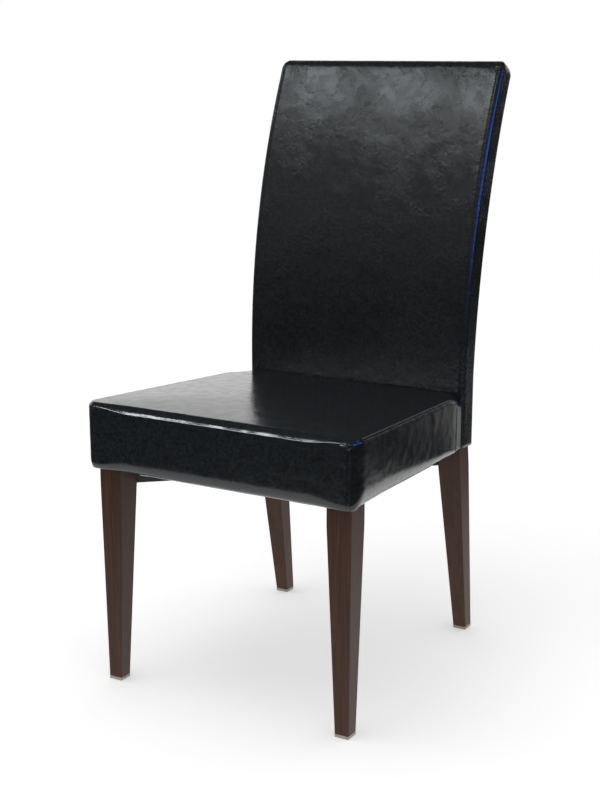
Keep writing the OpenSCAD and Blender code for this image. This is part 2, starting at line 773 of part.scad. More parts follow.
// Foam wrapped round the frame of the back and folded over its crest, with a
// pocket for each screw head
module back_foam() {
  color("#e6dcb8")
  difference() {
    loft(reversed(back_foam_rings(leather_th + soft_gap)));
    back_band(panel_d - soft_gap, rear_panel_d1 + soft_gap, 0, panel_z1 + soft_gap,
              rear_out + soft_gap);
    both_sides() panel_screw_pockets();
  }
}

module panel_screw_pockets() {
  for (z = panel_screw_zs) {
    p = arc_pt(panel_d, angle_at(z));
    translate([rear_out - post_w_top / 2, p[0], p[1]]) rotate([-90 - angle_at(z), 0, 0])
      translate([0, 0, -screw_head_h - soft_gap])
        cylinder(r = screw_head_d / 2 + soft_gap, h = screw_head_h + 2 * soft_gap, $fn = 16);
  }
}

function back_foam_rings(inset) = concat(
  [[for (p = back_section(0, inset)) [p[0], back_y + p[1], back_curve_h]]],
  [for (i = [1:arc_steps]) back_arc_ring(inset, i)],
  [for (f = crest_angles) back_crest_ring(inset, f)]);

module back_cover() {
  outer = back_rings(0);
  inner = back_rings(leather_th);
  color("#17181a") loft(concat(reversed(outer), inner));
}

// Nodes

place() both_sides(right = false) front_leg();  // front_leg_left
place() front_leg();  // front_leg_right
place() both_sides(right = false) rear_post();  // rear_post_left
place() rear_post();  // rear_post_right
place() front_rail();
place() rear_rail();
place() both_sides(right = false) side_rail();  // side_rail_left
place() side_rail();  // side_rail_right
place() both_sides(right = false) front_corner_block();  // corner_block_front_left
place() front_corner_block();  // corner_block_front_right
place() both_sides(right = false) rear_corner_block();  // corner_block_rear_left
place() rear_corner_block();  // corner_block_rear_right
place() seat_board();
place() seat_foam();
place() seat_side_padding();
place() seat_cover();
place() hem_strip();
place() dust_cover();
place() brace_strap(false);  // brace_strap_left
place() mirror([1, 0, 0]) brace_strap(true);  // brace_strap_right
place() cross_rail(top_rail_z0);  // back_top_rail
place() cross_rail(mid_rail_z);  // back_mid_rail
place() cross_rail(low_rail_z);  // back_low_rail
place() back_panel();
place() back_foam();
place() back_rear_panel();
place() back_cover();
place() both_sides(right = false) glide(false);  // glide_front_left
place() glide(false);  // glide_front_right
place() both_sides(right = false) glide(true);  // glide_rear_left
place() glide(true);  // glide_rear_right
place() both_sides() color("#c49a60") seat_dowel_rods(dowel_d / 2, 0);  // seat_dowels
place() both_sides() color("#c49a60") back_dowel_rods(dowel_d / 2, 0);  // back_dowels
place() both_sides() color("silver") block_screw_set();  // block_screws
place() both_sides() color("silver") board_screw_set();  // seat_board_screws
place() both_sides() color("silver") tab_screw_set();  // brace_screws
place() both_sides() color("silver") panel_screw_set();  // back_panel_screws
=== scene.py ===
import math
from types import SimpleNamespace

import bmesh
import bpy
from mathutils import Matrix, Vector, noise


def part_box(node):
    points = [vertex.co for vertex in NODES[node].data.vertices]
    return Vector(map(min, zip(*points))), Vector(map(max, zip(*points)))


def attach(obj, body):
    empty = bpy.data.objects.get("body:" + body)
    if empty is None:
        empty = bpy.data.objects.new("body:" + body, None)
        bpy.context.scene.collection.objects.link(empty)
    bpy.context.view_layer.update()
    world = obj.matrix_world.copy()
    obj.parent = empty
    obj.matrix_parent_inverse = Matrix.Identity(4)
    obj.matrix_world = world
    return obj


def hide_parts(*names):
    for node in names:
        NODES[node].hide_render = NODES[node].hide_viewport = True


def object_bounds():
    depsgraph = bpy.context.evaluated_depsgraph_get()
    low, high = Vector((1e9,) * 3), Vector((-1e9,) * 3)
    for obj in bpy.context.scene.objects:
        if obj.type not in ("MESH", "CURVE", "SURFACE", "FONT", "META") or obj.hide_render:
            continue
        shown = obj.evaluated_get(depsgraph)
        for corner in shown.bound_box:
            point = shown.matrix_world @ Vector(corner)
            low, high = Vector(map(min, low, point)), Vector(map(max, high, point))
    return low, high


bl_info = {
    "name": "Upholstered Dining Chair",
    "version": (1, 0, 0),
    "blender": (4, 5, 0),
    "location": "3D View > Sidebar > Chair",
    "description": "Dresses the frame of a high-back leather dining chair on tapered timber legs",
    "category": "Add Mesh",
}

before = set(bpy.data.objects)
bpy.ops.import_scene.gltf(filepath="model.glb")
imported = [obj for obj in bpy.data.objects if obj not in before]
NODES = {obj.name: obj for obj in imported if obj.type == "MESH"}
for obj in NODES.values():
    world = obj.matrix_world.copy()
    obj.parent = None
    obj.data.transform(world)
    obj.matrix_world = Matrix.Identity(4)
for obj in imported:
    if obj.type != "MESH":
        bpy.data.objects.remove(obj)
CAD_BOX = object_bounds()
MM = 0.001


def span(node, axis):
    """Length of a frame piece along X, Y or Z."""
    low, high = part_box(node)
    return high[axis] - low[axis]


# Properties that a user would change

def length(name, about, millimetres):
    """A length, written in millimetres and held in metres."""
    return bpy.props.FloatProperty(
        name=name, description=about, default=millimetres * MM, min=0.0, max=2.0,
        precision=4, unit="LENGTH")


def share(name, about, value):
    """A number from 0 to 1."""
    return bpy.props.FloatProperty(
        name=name, description=about, default=value, min=0.0, max=1.0, subtype="FACTOR")


def colour(name, about, rgb):
    """A linear colour."""
    return bpy.props.FloatVectorProperty(
        name=name, description=about, default=rgb, min=0.0, max=1.0, size=3, subtype="COLOR")


class ChairSizes(bpy.types.PropertyGroup):
    """Driving sizes of the seat, the back and the legs"""
    seat_front_h: length("Seat front height", "Height of the seat's top edge at the front", 476)
    seat_rear_h: length("Seat rear height", "Height of the seat's top edge at the back", 452)
    band_front_h: length("Front band", "Height of the side band at the front", 109)
    band_rear_h: length("Rear band", "Height of the side band at the back", 96)
    seat_front_w: length("Seat front width", "Width over the side bands at the front",
                         span("seat_cover", 0) / MM)
    seat_rear_w: length("Seat rear width", "Width over the side bands at the back", 432)
    seat_depth: length("Seat depth", "From the front band to the face of the back", 446)
    front_overhang: length("Front overhang", "How far the band stands ahead of the legs", 17)
    hem_draw_front: length("Front draw", "How far the hem draws in at the front corners", 6)
    hem_draw_rear: length("Rear draw", "How far the hem draws in at the rear corners", 3)
    tuck_front: length("Front tuck", "How far the leather rolls under at the front", 10.5)
    tuck_corner: length("Corner tuck", "How far it rolls under at the front corners", 6)
    front_edge: length("Front edge", "Height of the slope along the front of the cushion", 14.5)
    tuck_side: length("Side tuck", "How far it rolls under along the sides", 15)
    tuck_rear: length("Rear tuck", "How far it rolls under at the back's end", 3)
    rear_round: length("Rear rounding", "Radius of the cushion's rear corners", 28)
    corner_r: length("Corner radius", "Rounding of the front corners in plan", 24)
    side_roll_r: length("Side roll", "Radius of the seamed side edges", 9)
    seat_crown: length("Seat crown", "Rise of the cushion in the middle", 6)
    back_w_low: length("Back width low", "Width of the back at the seat", 426)
    back_w_top: length("Back width top", "Width of the back at the top", 434)
    back_th_low: length("Back thickness low", "Thickness of the back at the seat", 43)
    back_th_top: length("Back thickness top", "Thickness of the back at the top", 40)
    back_swell: length("Back swell", "Extra thickness half way up", 5)
    back_curve_r: length("Back curve", "Radius of the backward curve", 1215)
    back_curve_h: length("Curve start", "Height at which the backward curve starts", 465)
    back_edge_r: length("Back edge radius", "Radius of the long edges of the back", 6)
    back_top_corner_r: length("Top corner radius", "Rounding of the top corners", 15)
    leg_w: length("Leg width", "Width of a leg where it meets the seat", 42)
    foot_w: length("Foot width", "Width of a leg at its glide", 24)
    rear_leg_d: length("Rear leg depth", "Depth of a rear leg at the seat", 38.5)
    leg_side_inset: length("Leg inset", "From the side band to a front leg", 17)
    front_foot_in: length("Front foot in", "How far a front foot stands in", 4)
    front_foot_back: length("Front foot back", "How far a front foot stands back", 3.5)
    rear_splay: length("Rear splay", "How far a rear foot stands behind its leg's top", 64)
    rear_foot_in: length("Rear foot in", "How far a rear foot stands in", 7)
    post_inset: length("Post inset", "From the side of the back to its post", 7)
    post_tuck: length("Post tuck", "From the face of the back to the rear leg", 1.3)
    leather_th: length("Leather", "Thickness of the leather with its backing", 1.5)
    rail_h: length("Rail height", "Height of the seat rails", 45)
    board_th: length("Seat board", "Thickness of the plywood seat board", 10)


class ChairSeams(bpy.types.PropertyGroup):
    """Sewing of the leather"""
    pitch: length("Stitch pitch", "From one stitch to the next", 6.2)
    stitch: length("Stitch length", "Length of thread that shows in one stitch", 4.2)
    thread: length("Thread", "Thickness of the thread", 0.65)
    row_gap: length("Row gap", "Between the two rows of a double seam", 5.5)
    back_seam: length("Back seam", "From the back's edge to its sewn seam", 9)
    corner_seam: length("Corner seam", "From the side band to the seam on the front corner", 15.2)
    rear_seam: length("Rear seam", "From the back to the seam at the rear of the side band", 36.5)


class ChairFinish(bpy.types.PropertyGroup):
    """Colours and gloss"""
    leather: colour("Leather", "Black bonded leather", (0.006, 0.007, 0.008))
    # The lighter tone on the raised grain is partly the grain's own colour and partly a painted sheen.
    leather_grain_sheen: colour("Leather sheen", "Raised grain of the leather", (0.012, 0.014, 0.016))
    seat_rough: share("Seat roughness", "Roughness of the stretched leather of the seat", 0.17)
    back_rough: share("Back roughness", "Roughness of the crackled leather of the back", 0.25)
    grain_size: length("Grain", "Size of one pebble of the crackled grain", 5.5)
    stain: colour("Stain", "Dark brown stain of the legs", (0.04, 0.0165, 0.008))
    stain_light: colour("Stain light", "Early wood of the stained legs", (0.078, 0.036, 0.02))
    timber: colour("Timber", "Bare beech of the hidden frame", (0.52, 0.34, 0.17))
    plywood: colour("Plywood", "Bare plywood and fibreboard", (0.6, 0.44, 0.25))
    foam: colour("Foam", "Polyurethane foam", (0.75, 0.68, 0.45))
    fibre: colour("Fibre strip", "Pressed fibre strip", (0.65, 0.62, 0.55))
    cloth: colour("Dust cloth", "Black non-woven cloth", (0.02, 0.021, 0.023))
    paint: colour("Brace paint", "Black satin paint of the brace", (0.012, 0.012, 0.013))
    nylon: colour("Glide nylon", "Pale nylon of the glides", (0.42, 0.39, 0.34))
    zinc: colour("Zinc", "Zinc plate of the screws", (0.55, 0.56, 0.58))


def sizes():
    """The driving sizes as plain numbers, with what follows from them."""
    group = bpy.context.scene.chair_sizes
    names = ChairSizes.__annotations__
    s = SimpleNamespace(**{name: getattr(group, name) for name in names})
    s.front_y = -s.front_overhang
    s.back_y = s.front_y + s.seat_depth
    s.post_y = s.back_y + s.post_tuck
    s.mid_y = s.front_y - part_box("seat_cover")[0].y
    s.overall_h = CAD_BOX[1].z
    s.glide_h = 5 * MM
    s.front_out = s.seat_front_w / 2 - s.leg_side_inset
    s.front_in = s.front_out - s.leg_w
    s.rear_out = s.back_w_low / 2 - s.post_inset
    s.rear_in = s.rear_out - s.leg_w
    s.hem_front_h = s.seat_front_h - s.band_front_h
    s.hem_rear_h = s.seat_rear_h - s.band_rear_h
    s.crest_r = s.back_th_top / 2
    s.crest_a = math.asin((s.overall_h - s.crest_r - s.back_curve_h)
                          / (s.back_curve_r - s.crest_r))
    s.board_top = s.rail_h + s.board_th
    s.rear_gap = 0.3 * MM
    s.strip_th = 2 * MM
    return s


def falling(s, front, rear, y):
    """A height that falls evenly from the front of the seat to its back."""
    return front - (front - rear) * (y - s.front_y) / s.seat_depth


def hem_z(s, y):
    """Height of the seat's hem."""
    return falling(s, s.hem_front_h, s.hem_rear_h, y)


def edge_z(s, y):
    """Height of the seat's top edge."""
    return falling(s, s.seat_front_h, s.seat_rear_h, y)


def seat_half_w(s, y):
    """Half the seat's width over its side bands."""
    behind = max(0.0, y - s.front_y - s.corner_r) / (s.seat_depth - s.corner_r)
    return (s.seat_front_w - (s.seat_front_w - s.seat_rear_w) * behind) / 2


def arc_point(s, depth, angle):
    """Side view of the back: a point at a depth behind its face, at an angle up its curve."""
    reach = s.back_curve_r - depth
    return (s.back_y + s.back_curve_r - reach * math.cos(angle),
            s.back_curve_h + reach * math.sin(angle))


def back_th(s, up):
    """Thickness of the back at a share of its curve."""
    return (s.back_th_low + (s.back_th_top - s.back_th_low) * up
            + s.back_swell * math.sin(math.pi * up))


def back_half_w(s, up):
    """Half the back's width at a share of its curve."""
    return (s.back_w_low + (s.back_w_top - s.back_w_low) * up) / 2


def smooth_step(low, high, value):
    """0 up to low and 1 from high on, easing between them."""
    t = min(max((value - low) / (high - low), 0.0), 1.0)
    return t * t * (3 - 2 * t)


def hump(value, centre, width):
    """1 at the centre, falling smoothly to 0 at that width on each side."""
    t = abs(value - centre) / width
    return (1 - t * t) ** 2 if t < 1 else 0.0


def stations(start, end, step, seams=()):
    """Places along a line: even steps, with close ones round each seam."""
    close = [0.0, 0.7, 1.4, 2.2, 3.2, 4.5]
    seam_room, end_room = 5.5 * MM, 0.3 * MM
    near = {seam + sign * gap * MM for seam in seams for gap in close for sign in (-1, 1)}
    count = max(1, round((end - start) / step))
    even = [start + (end - start) * i / count for i in range(count + 1)]
    clear = [p for p in even[1:-1] if all(abs(p - seam) > seam_room for seam in seams)]
    inside = [p for p in near if start + end_room < p < end - end_room]
    return [start] + sorted(clear + inside) + [end]


# Mesh helpers

def new_object(name, data):
    """An object in the scene, at the origin."""
    made = bpy.data.objects.new(name, data)
    bpy.context.scene.collection.objects.link(made)
    return made


def mesh_object(name, points, faces):
    """A smoothly shaded piece from its points and faces."""
    mesh = bpy.data.meshes.new(name)
    mesh.from_pydata([tuple(p) for p in points], [], faces)
    mesh.update()
    mesh.shade_smooth()
    return new_object(name, mesh)


def clean_mesh(mesh, gap=0.00002):
    """Merges doubled points, drops faces of no area and turns every face outwards."""
    work = bmesh.new()
    work.from_mesh(mesh)
    bmesh.ops.remove_doubles(work, verts=work.verts, dist=gap)
    bmesh.ops.dissolve_degenerate(work, edges=work.edges, dist=gap / 2)
    bmesh.ops.recalc_face_normals(work, faces=work.faces)
    work.to_mesh(mesh)
    work.free()
    mesh.update()


def apply_modifiers(piece):
    """Turns a piece with its modifiers into a plain mesh."""
    graph = bpy.context.evaluated_depsgraph_get()
    mesh = bpy.data.meshes.new_from_object(piece.evaluated_get(graph), depsgraph=graph)
    piece.modifiers.clear()
    old = piece.data
    piece.data = mesh
    mesh.name = piece.name
    bpy.data.meshes.remove(old)
    return piece


def ring_faces(rings, columns):
    """Quads between closed rings of points that lie one after another."""
    return [(j * columns + i, j * columns + (i + 1) % columns,
             (j + 1) * columns + (i + 1) % columns, (j + 1) * columns + i)
            for j in range(rings - 1) for i in range(columns)]


def finish_piece(piece, material, replaced=()):
    """Gives a piece its material and body, and hides the frame pieces it stands for."""
    piece.data.materials.clear()
    piece.data.materials.append(material)
    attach(piece, "root")
    if replaced:
        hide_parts(*replaced)
    return piece


def dress_node(name, material):
    """A frame piece keeps its shape and takes a procedural material."""
    node = NODES[name]
    if not node.material_slots:
        node.data.materials.append(material)
    for slot in node.material_slots:
        slot.material = material


def swell_cloth(piece, held, pressure, shrink, cap):
    """Cloth simulation: the leather swells between its held points, each moving at most cap."""
    last_frame = 20
    scene = bpy.context.scene
    group = piece.vertex_groups.new(name="held")
    for index, weight in held.items():
        group.add([index], weight, "REPLACE")
    rest = [v.co.copy() for v in piece.data.vertices]
    cloth = piece.modifiers.new("cloth", "CLOTH")
    cloth.settings.vertex_group_mass = group.name
    cloth.settings.pin_stiffness = 1.0
    cloth.settings.quality = 5
    cloth.settings.mass = 0.4
    cloth.settings.tension_stiffness = 25
    cloth.settings.compression_stiffness = 25
    cloth.settings.shear_stiffness = 12
    cloth.settings.bending_stiffness = 2.0
    cloth.settings.shrink_min = shrink
    cloth.settings.use_pressure = True
    cloth.settings.uniform_pressure_force = pressure
    cloth.settings.effector_weights.gravity = 0
    cloth.collision_settings.use_collision = False
    for number in range(1, last_frame + 1):
        scene.frame_set(number)
    graph = bpy.context.evaluated_depsgraph_get()
    moved = [v.co.copy() for v in piece.evaluated_get(graph).data.vertices]
    piece.modifiers.remove(cloth)
    piece.vertex_groups.remove(group)
    scene.frame_set(1)
    for vertex, before, after in zip(piece.data.vertices, rest, moved):
        step = after - before
        if step.length > cap:
            step *= cap / step.length
        vertex.co = before + step
    piece.data.update()


# Materials

class NodeWork:
    """Short calls for the nodes of a material or of the world."""

    def __init__(self, tree):
        self.tree = tree

    def node(self, kind, **values):
        """A new node with values for its inputs and settings."""
        made = self.tree.nodes.new(kind)
        for name, value in values.items():
            if name in made.inputs:
                made.inputs[name].default_value = value
            else:
                setattr(made, name, value)
        return made

    def link(self, source, target):
        self.tree.links.new(source, target)

    def split(self, vector):
        """The X, Y and Z of a vector."""
        made = self.node("ShaderNodeSeparateXYZ")
        self.link(vector, made.inputs["Vector"])
        return [made.outputs[axis] for axis in "XYZ"]

    def ranged(self, value, low, high, to_low=0.0, to_high=1.0):
        """A smooth step that takes the range low to high over to another."""
        made = self.node("ShaderNodeMapRange", interpolation_type="SMOOTHSTEP")
        for name, number in (("From Min", low), ("From Max", high),
                             ("To Min", to_low), ("To Max", to_high)):
            made.inputs[name].default_value = number
        self.link(value, made.inputs["Value"])
        return made.outputs["Result"]

    def math(self, operation, first, second):
        made = self.node("ShaderNodeMath", operation=operation)
        for socket, value in zip(made.inputs, (first, second)):
            if isinstance(value, (int, float)):
                socket.default_value = value
            else:
                self.link(value, socket)
        return made.outputs["Value"]

    def times(self, first, *others):
        """Product of two or more values."""
        rest = self.times(*others) if len(others) > 1 else others[0]
        return self.math("MULTIPLY", first, rest)


class Shader(NodeWork):
    """A principled material under construction."""

    def __init__(self, name, rgb, roughness):
        self.material = bpy.data.materials.new(name)
        self.material.use_nodes = True
        super().__init__(self.material.node_tree)
        self.base = self.tree.nodes["Principled BSDF"]
        self.base.inputs["Base Color"].default_value = (*rgb, 1.0)
        self.base.inputs["Roughness"].default_value = roughness
        self.place = self.tree.nodes.new("ShaderNodeTexCoord").outputs["Object"]

    def stretched(self, scale):
        """Object coordinates, scaled by axis."""
        mapping = self.node("ShaderNodeMapping", Scale=scale)
        self.link(self.place, mapping.inputs["Vector"])
        return mapping.outputs["Vector"]

    def noise(self, vector, scale, detail=3.0, rough=0.55, distortion=0.0):
        made = self.node("ShaderNodeTexNoise", Scale=scale, Detail=detail, Roughness=rough,
                         Distortion=distortion)
        self.link(vector, made.inputs["Vector"])
        return made.outputs["Fac"]

    def cells(self, scale, randomness=1.0):
        """Distance from the middles of small cells, in a regular grid at randomness 0."""
        made = self.node("ShaderNodeTexVoronoi", Scale=scale, Randomness=randomness)
        self.link(self.place, made.inputs["Vector"])
        return made.outputs["Distance"]

    def mixed(self, factor, first, second):
        """Base colour between two colours."""
        made = self.node("ShaderNodeMix", data_type="RGBA")
        made.inputs["A"].default_value = (*first, 1.0)
        made.inputs["B"].default_value = (*second, 1.0)
        self.link(factor, made.inputs["Factor"])
        self.link(made.outputs["Result"], self.base.inputs["Base Color"])

    def bumped(self, *layers):
        """Bump layers as (height, depth in metres, strength), the coarsest first."""
        normal = None
        for height, depth, strength in layers:
            bump = self.node("ShaderNodeBump", Distance=depth, Strength=strength)
            self.link(height, bump.inputs["Height"])
            if normal is not None:
                self.link(normal, bump.inputs["Normal"])
            normal = bump.outputs["Normal"]
        self.link(normal, self.base.inputs["Normal"])

    def rough(self, value, low, high):
        """Roughness between two values, by a pattern."""
        self.link(self.ranged(value, 0.25, 0.75, low, high), self.base.inputs["Roughness"])


def toned(rgb, factor):
    """A darker or lighter tone of a colour."""
    return tuple(min(1.0, part * factor) for part in rgb)


def leather_material(name, finish, roughness, crackling):
    """Glossy black bonded leather: pebbled grain in patches, faint creases, a slow billow, and a
    painted sheen on the raised pebbles.
    """
    m = Shader(name, finish.leather, roughness)
    scale = 1.0 / finish.grain_size
    warp = m.node("ShaderNodeTexNoise", Scale=scale * 0.35, Detail=2.0)
    m.link(m.place, warp.inputs["Vector"])
    shift = m.node("ShaderNodeVectorMath", operation="MULTIPLY_ADD")
    shift.inputs[1].default_value = (0.008, 0.008, 0.008)
    m.link(warp.outputs["Color"], shift.inputs[0])
    m.link(m.place, shift.inputs[2])
    bent = shift.outputs["Vector"]
    pebbles = m.noise(m.place, scale, 4.0, 0.62)
    fold = m.math("ABSOLUTE", m.math("SUBTRACT", m.noise(bent, scale * 0.3, 3.0, 0.6), 0.5), 0.0)
    creases = m.ranged(fold, 0.0, 0.045)
    patches = m.ranged(m.noise(m.place, 12.0, 2.0), 0.4, 0.66, 0.25, 1.0)
    crackle = m.times(m.math("ADD", pebbles, m.times(creases, 0.1)), patches)
    billow = m.noise(m.place, 26.0, 3.0, 0.5)
    # Painted sheen: the raised pebbles take the lighter tone, which is partly the grain's own colour.
    m.mixed(m.ranged(pebbles, 0.35, 0.65), finish.leather, finish.leather_grain_sheen)
    m.rough(m.noise(m.place, 60.0, 4.0), roughness - 0.04, roughness + 0.06)
    m.bumped((billow, 0.0016, 0.3), (crackle, 0.002 * crackling, 0.5))
    return m.material


def timber_material(name, dark, light, roughness, along=(1.0, 1.0, 0.035), gloss=0.4):
    """Fine straight grain that runs along one axis, with darker pores."""
    m = Shader(name, dark, roughness)
    lines = m.stretched(along)
    grain = m.noise(lines, 240.0, 5.0, 0.62, 0.25)
    bands = m.noise(lines, 55.0, 2.0)
    pores = m.ranged(m.noise(m.stretched(tuple(a * 0.6 if a < 1 else 1.0 for a in along)),
                             900.0, 2.0), 0.58, 0.72)
    tone = m.math("ADD", m.times(grain, 0.65), m.times(bands, 0.35))
    shown = m.math("SUBTRACT", m.ranged(tone, 0.34, 0.66), m.times(pores, 0.35))
    m.mixed(shown, dark, light)
    m.rough(grain, roughness - 0.07, roughness + 0.08)
    m.bumped((grain, 0.0002, 0.35), (pores, 0.00015, 0.4))
    m.base.inputs["Specular IOR Level"].default_value = gloss
    return m.material


def plywood_material(finish):
    """Rotary-cut face veneer, with the dark glue lines of the plies at the edges."""
    m = Shader("plywood", finish.plywood, 0.62)
    figure = m.noise(m.stretched((1.0, 0.08, 1.0)), 90.0, 5.0, 0.6, 0.8)
    wave = m.node("ShaderNodeTexWave", bands_direction="Z", Scale=110.0, Distortion=0.4)
    m.link(m.place, wave.inputs["Vector"])
    tone = m.times(m.ranged(figure, 0.3, 0.7), m.ranged(wave.outputs["Fac"], 0.0, 0.25, 0.6, 1.0))
    m.mixed(tone, toned(finish.plywood, 0.72), finish.plywood)
    m.bumped((figure, 0.0002, 0.3))
    return m.material


def foam_material(finish):
    """Cut polyurethane foam: open cells and a slightly yellowed face."""
    m = Shader("seat_foam", finish.foam, 0.95)
    cells = m.cells(700.0)
    aged = m.noise(m.place, 18.0, 3.0)
    m.mixed(m.ranged(aged, 0.3, 0.7), toned(finish.foam, 0.8), finish.foam)
    m.bumped((aged, 0.002, 0.3), (cells, 0.0009, 0.7))
    return m.material


def cloth_material(finish):
    """Black non-woven dust cloth, pressed with a fine pattern of dots."""
    m = Shader("dust_cloth", finish.cloth, 0.9)
    dots = m.cells(650.0, randomness=0.0)
    fibres = m.noise(m.place, 900.0, 4.0, 0.7, 1.2)
    m.mixed(m.ranged(fibres, 0.35, 0.7), finish.cloth, toned(finish.cloth, 1.9))
    m.bumped((fibres, 0.0002, 0.5), (m.ranged(dots, 0.2, 0.45), 0.0003, 0.6))
    m.base.inputs["Sheen Weight"].default_value = 0.2
    return m.material


def fibre_material(finish):
    """Pale pressed fibre strip with flecks."""
    m = Shader("fibre_strip", finish.fibre, 0.8)
    flecks = m.noise(m.stretched((1.0, 1.0, 0.3)), 420.0, 4.0, 0.7)
    m.mixed(m.ranged(flecks, 0.3, 0.7), toned(finish.fibre, 0.7), finish.fibre)
    m.bumped((flecks, 0.0003, 0.5))
    return m.material


def paint_material(finish):
    """Black satin paint on steel, with a light orange peel and rubbed spots."""
    m = Shader("brace_paint", finish.paint, 0.42)
    peel = m.noise(m.place, 380.0, 2.0)
    wear = m.ranged(m.noise(m.place, 45.0, 5.0, 0.65), 0.62, 0.78)
    m.mixed(wear, finish.paint, toned(finish.paint, 3.2))
    m.rough(m.noise(m.place, 70.0, 3.0), 0.36, 0.52)
    m.bumped((peel, 0.0003, 0.3))
    return m.material


def nylon_material(finish):
    """Pale nylon of the glides, scuffed grey near the floor."""
    m = Shader("glide_nylon", finish.nylon, 0.5)
    scuff = m.ranged(m.noise(m.stretched((1.0, 1.0, 0.25)), 500.0, 4.0, 0.7), 0.45, 0.75)
    m.mixed(scuff, finish.nylon, toned(finish.nylon, 0.55))
    m.rough(m.noise(m.place, 200.0, 3.0), 0.42, 0.62)
    m.bumped((scuff, 0.0002, 0.4))
    return m.material


def zinc_material(finish):
    """Zinc plate, brushed and slightly clouded."""
    m = Shader("zinc_plate", finish.zinc, 0.34)
    m.base.inputs["Metallic"].default_value = 1.0
    cloud = m.noise(m.place, 420.0, 4.0, 0.65)
    m.mixed(m.ranged(cloud, 0.3, 0.7), toned(finish.zinc, 0.75), finish.zinc)
    m.rough(cloud, 0.26, 0.46)
    m.bumped((m.noise(m.place, 1800.0, 2.0), 0.00004, 0.4))
    return m.material


def thread_material(finish):
    """Twisted black polyester thread."""
    # The thread's own colour reuses the value of the leather's painted grain sheen.
    m = Shader("black_thread", finish.leather_grain_sheen, 0.6)
    twist = m.noise(m.place, 2600.0, 2.0)
    m.bumped((twist, 0.0002, 0.5))
    m.base.inputs["Specular IOR Level"].default_value = 0.3
    return m.material


MATERIALS = {}


def make_materials():
    finish = bpy.context.scene.chair_finish
    MATERIALS.update({
        "seat_leather": leather_material("seat_leather", finish, finish.seat_rough, 0.22),
        "back_leather": leather_material("back_leather", finish, finish.back_rough, 1.0),
        "thread": thread_material(finish),
        "stained_timber": timber_material("stained_timber", finish.stain, finish.stain_light,
                                          0.46, gloss=0.22),
        "frame_timber": timber_material("bare_timber", toned(finish.timber, 0.78), finish.timber,
                                        0.66, along=(0.06, 0.06, 1.0)),
        "plywood": plywood_material(finish),
        "foam": foam_material(finish),
        "fibre_strip": fibre_material(finish),
        "dust_cloth": cloth_material(finish),
        "brace_steel": paint_material(finish),
        "glide_plastic": nylon_material(finish),
        "zinc_steel": zinc_material(finish),
    })


# Legs

def profile(points, height):
    """Value at a height of a broken line through points of (height, value)."""
    for (z0, v0), (z1, v1) in zip(points, points[1:]):
        if height <= z1:
            return v0 + (v1 - v0) * (height - z0) / (z1 - z0)
    return points[-1][1]


def bevelled(piece, width):
    """Eases the sharp edges of a piece and shades it by its flat faces."""
    bevel = piece.modifiers.new("eased", "BEVEL")
    bevel.width = width
    bevel.segments = 2
    bevel.limit_method = "ANGLE"
    bevel.angle_limit = math.radians(25)
    bevel.harden_normals = True
    return apply_modifiers(piece)


def box_stack(name, levels):
    """A closed bar through rectangles given as (x0, x1, y0, y1, z at y0, z at y1)."""
    points = []
    for x0, x1, y0, y1, z0, z1 in levels:
        points += [(x0, y0, z0), (x1, y0, z0), (x1, y1, z1), (x0, y1, z1)]
    last = 4 * (len(levels) - 1)
    faces = ring_faces(len(levels), 4)
    faces += [(3, 2, 1, 0), (last, last + 1, last + 2, last + 3)]
    return mesh_object(name, points, faces)


def front_leg_levels(s, side):
    """A front leg: tapered below the seat, square where it stands in the frame."""
    taper = s.hem_front_h - 32 * MM
    foot_out = s.front_out - s.front_foot_in
    steps = [(s.glide_h, s.glide_h, foot_out - s.foot_w, foot_out,
              s.front_foot_back, s.front_foot_back + s.foot_w),
             (taper, taper, s.front_in, s.front_out, 0.0, s.leg_w),
             (hem_z(s, 0.0) + s.rail_h, hem_z(s, s.leg_w) + s.rail_h,
              s.front_in, s.front_out, 0.0, s.leg_w)]
    return [leg_level(s, side, x0, x1, y0, y1, z0, z1) for z0, z1, x0, x1, y0, y1 in steps]


def leg_level(s, side, x0, x1, y0, y1, z0, z1):
    """One rectangle of a leg on its side of the chair, in the frame's Y."""
    low, high = sorted((side * x0, side * x1))
    return low, high, y0 - s.mid_y, y1 - s.mid_y, z0, z1


def rear_post_levels(s, side):
    """The rear leg and its back post, one bent timber."""
    taper = s.hem_rear_h - 40 * MM
    arc_steps, least_step = 12, 1.5 * MM
    low_out = s.rear_out - s.rear_foot_in
    board = hem_z(s, s.back_y) + s.board_top
    low_rail, panel = s.seat_rear_h + 24 * MM, s.seat_rear_h + 8 * MM
    front_d, rear_d, post_top_w = 15 * MM, 34 * MM, 30 * MM
    top = arc_point(s, rear_d, s.crest_a)[1]
    inner = [(s.glide_h, low_out - s.foot_w), (taper, s.rear_in), (s.seat_rear_h, s.rear_in),
             (low_rail, s.rear_out - post_top_w), (top, s.rear_out - post_top_w)]
    outer = [(s.glide_h, low_out), (taper, s.rear_out), (top, s.rear_out)]
    arcs = [s.crest_a * i / arc_steps for i in range(1, arc_steps + 1)]
    front = [(s.glide_h, s.post_y + s.rear_splay), (s.hem_rear_h, s.post_y), (board, s.post_y),
             (panel - 2 * MM, s.back_y + front_d)]
    front += [arc_point(s, front_d, a)[::-1] for a in arcs]
    rear = [(s.glide_h, s.post_y + s.rear_splay + s.foot_w),
            (s.hem_rear_h, s.post_y + s.rear_leg_d), (board, s.post_y + s.rear_leg_d),
            (low_rail - 8 * MM, s.back_y + rear_d)]
    rear += [arc_point(s, rear_d, a)[::-1] for a in arcs]
    heights = sorted({round(z, 5) for line in (inner, outer, front, rear) for z, _ in line
                      if z <= top})
    heights = [z for z, after in zip(heights, heights[1:] + [9.0]) if after - z > least_step]
    return [leg_level(s, side, profile(inner, z), profile(outer, z), profile(front, z),
                      profile(rear, z), z, z) for z in heights]


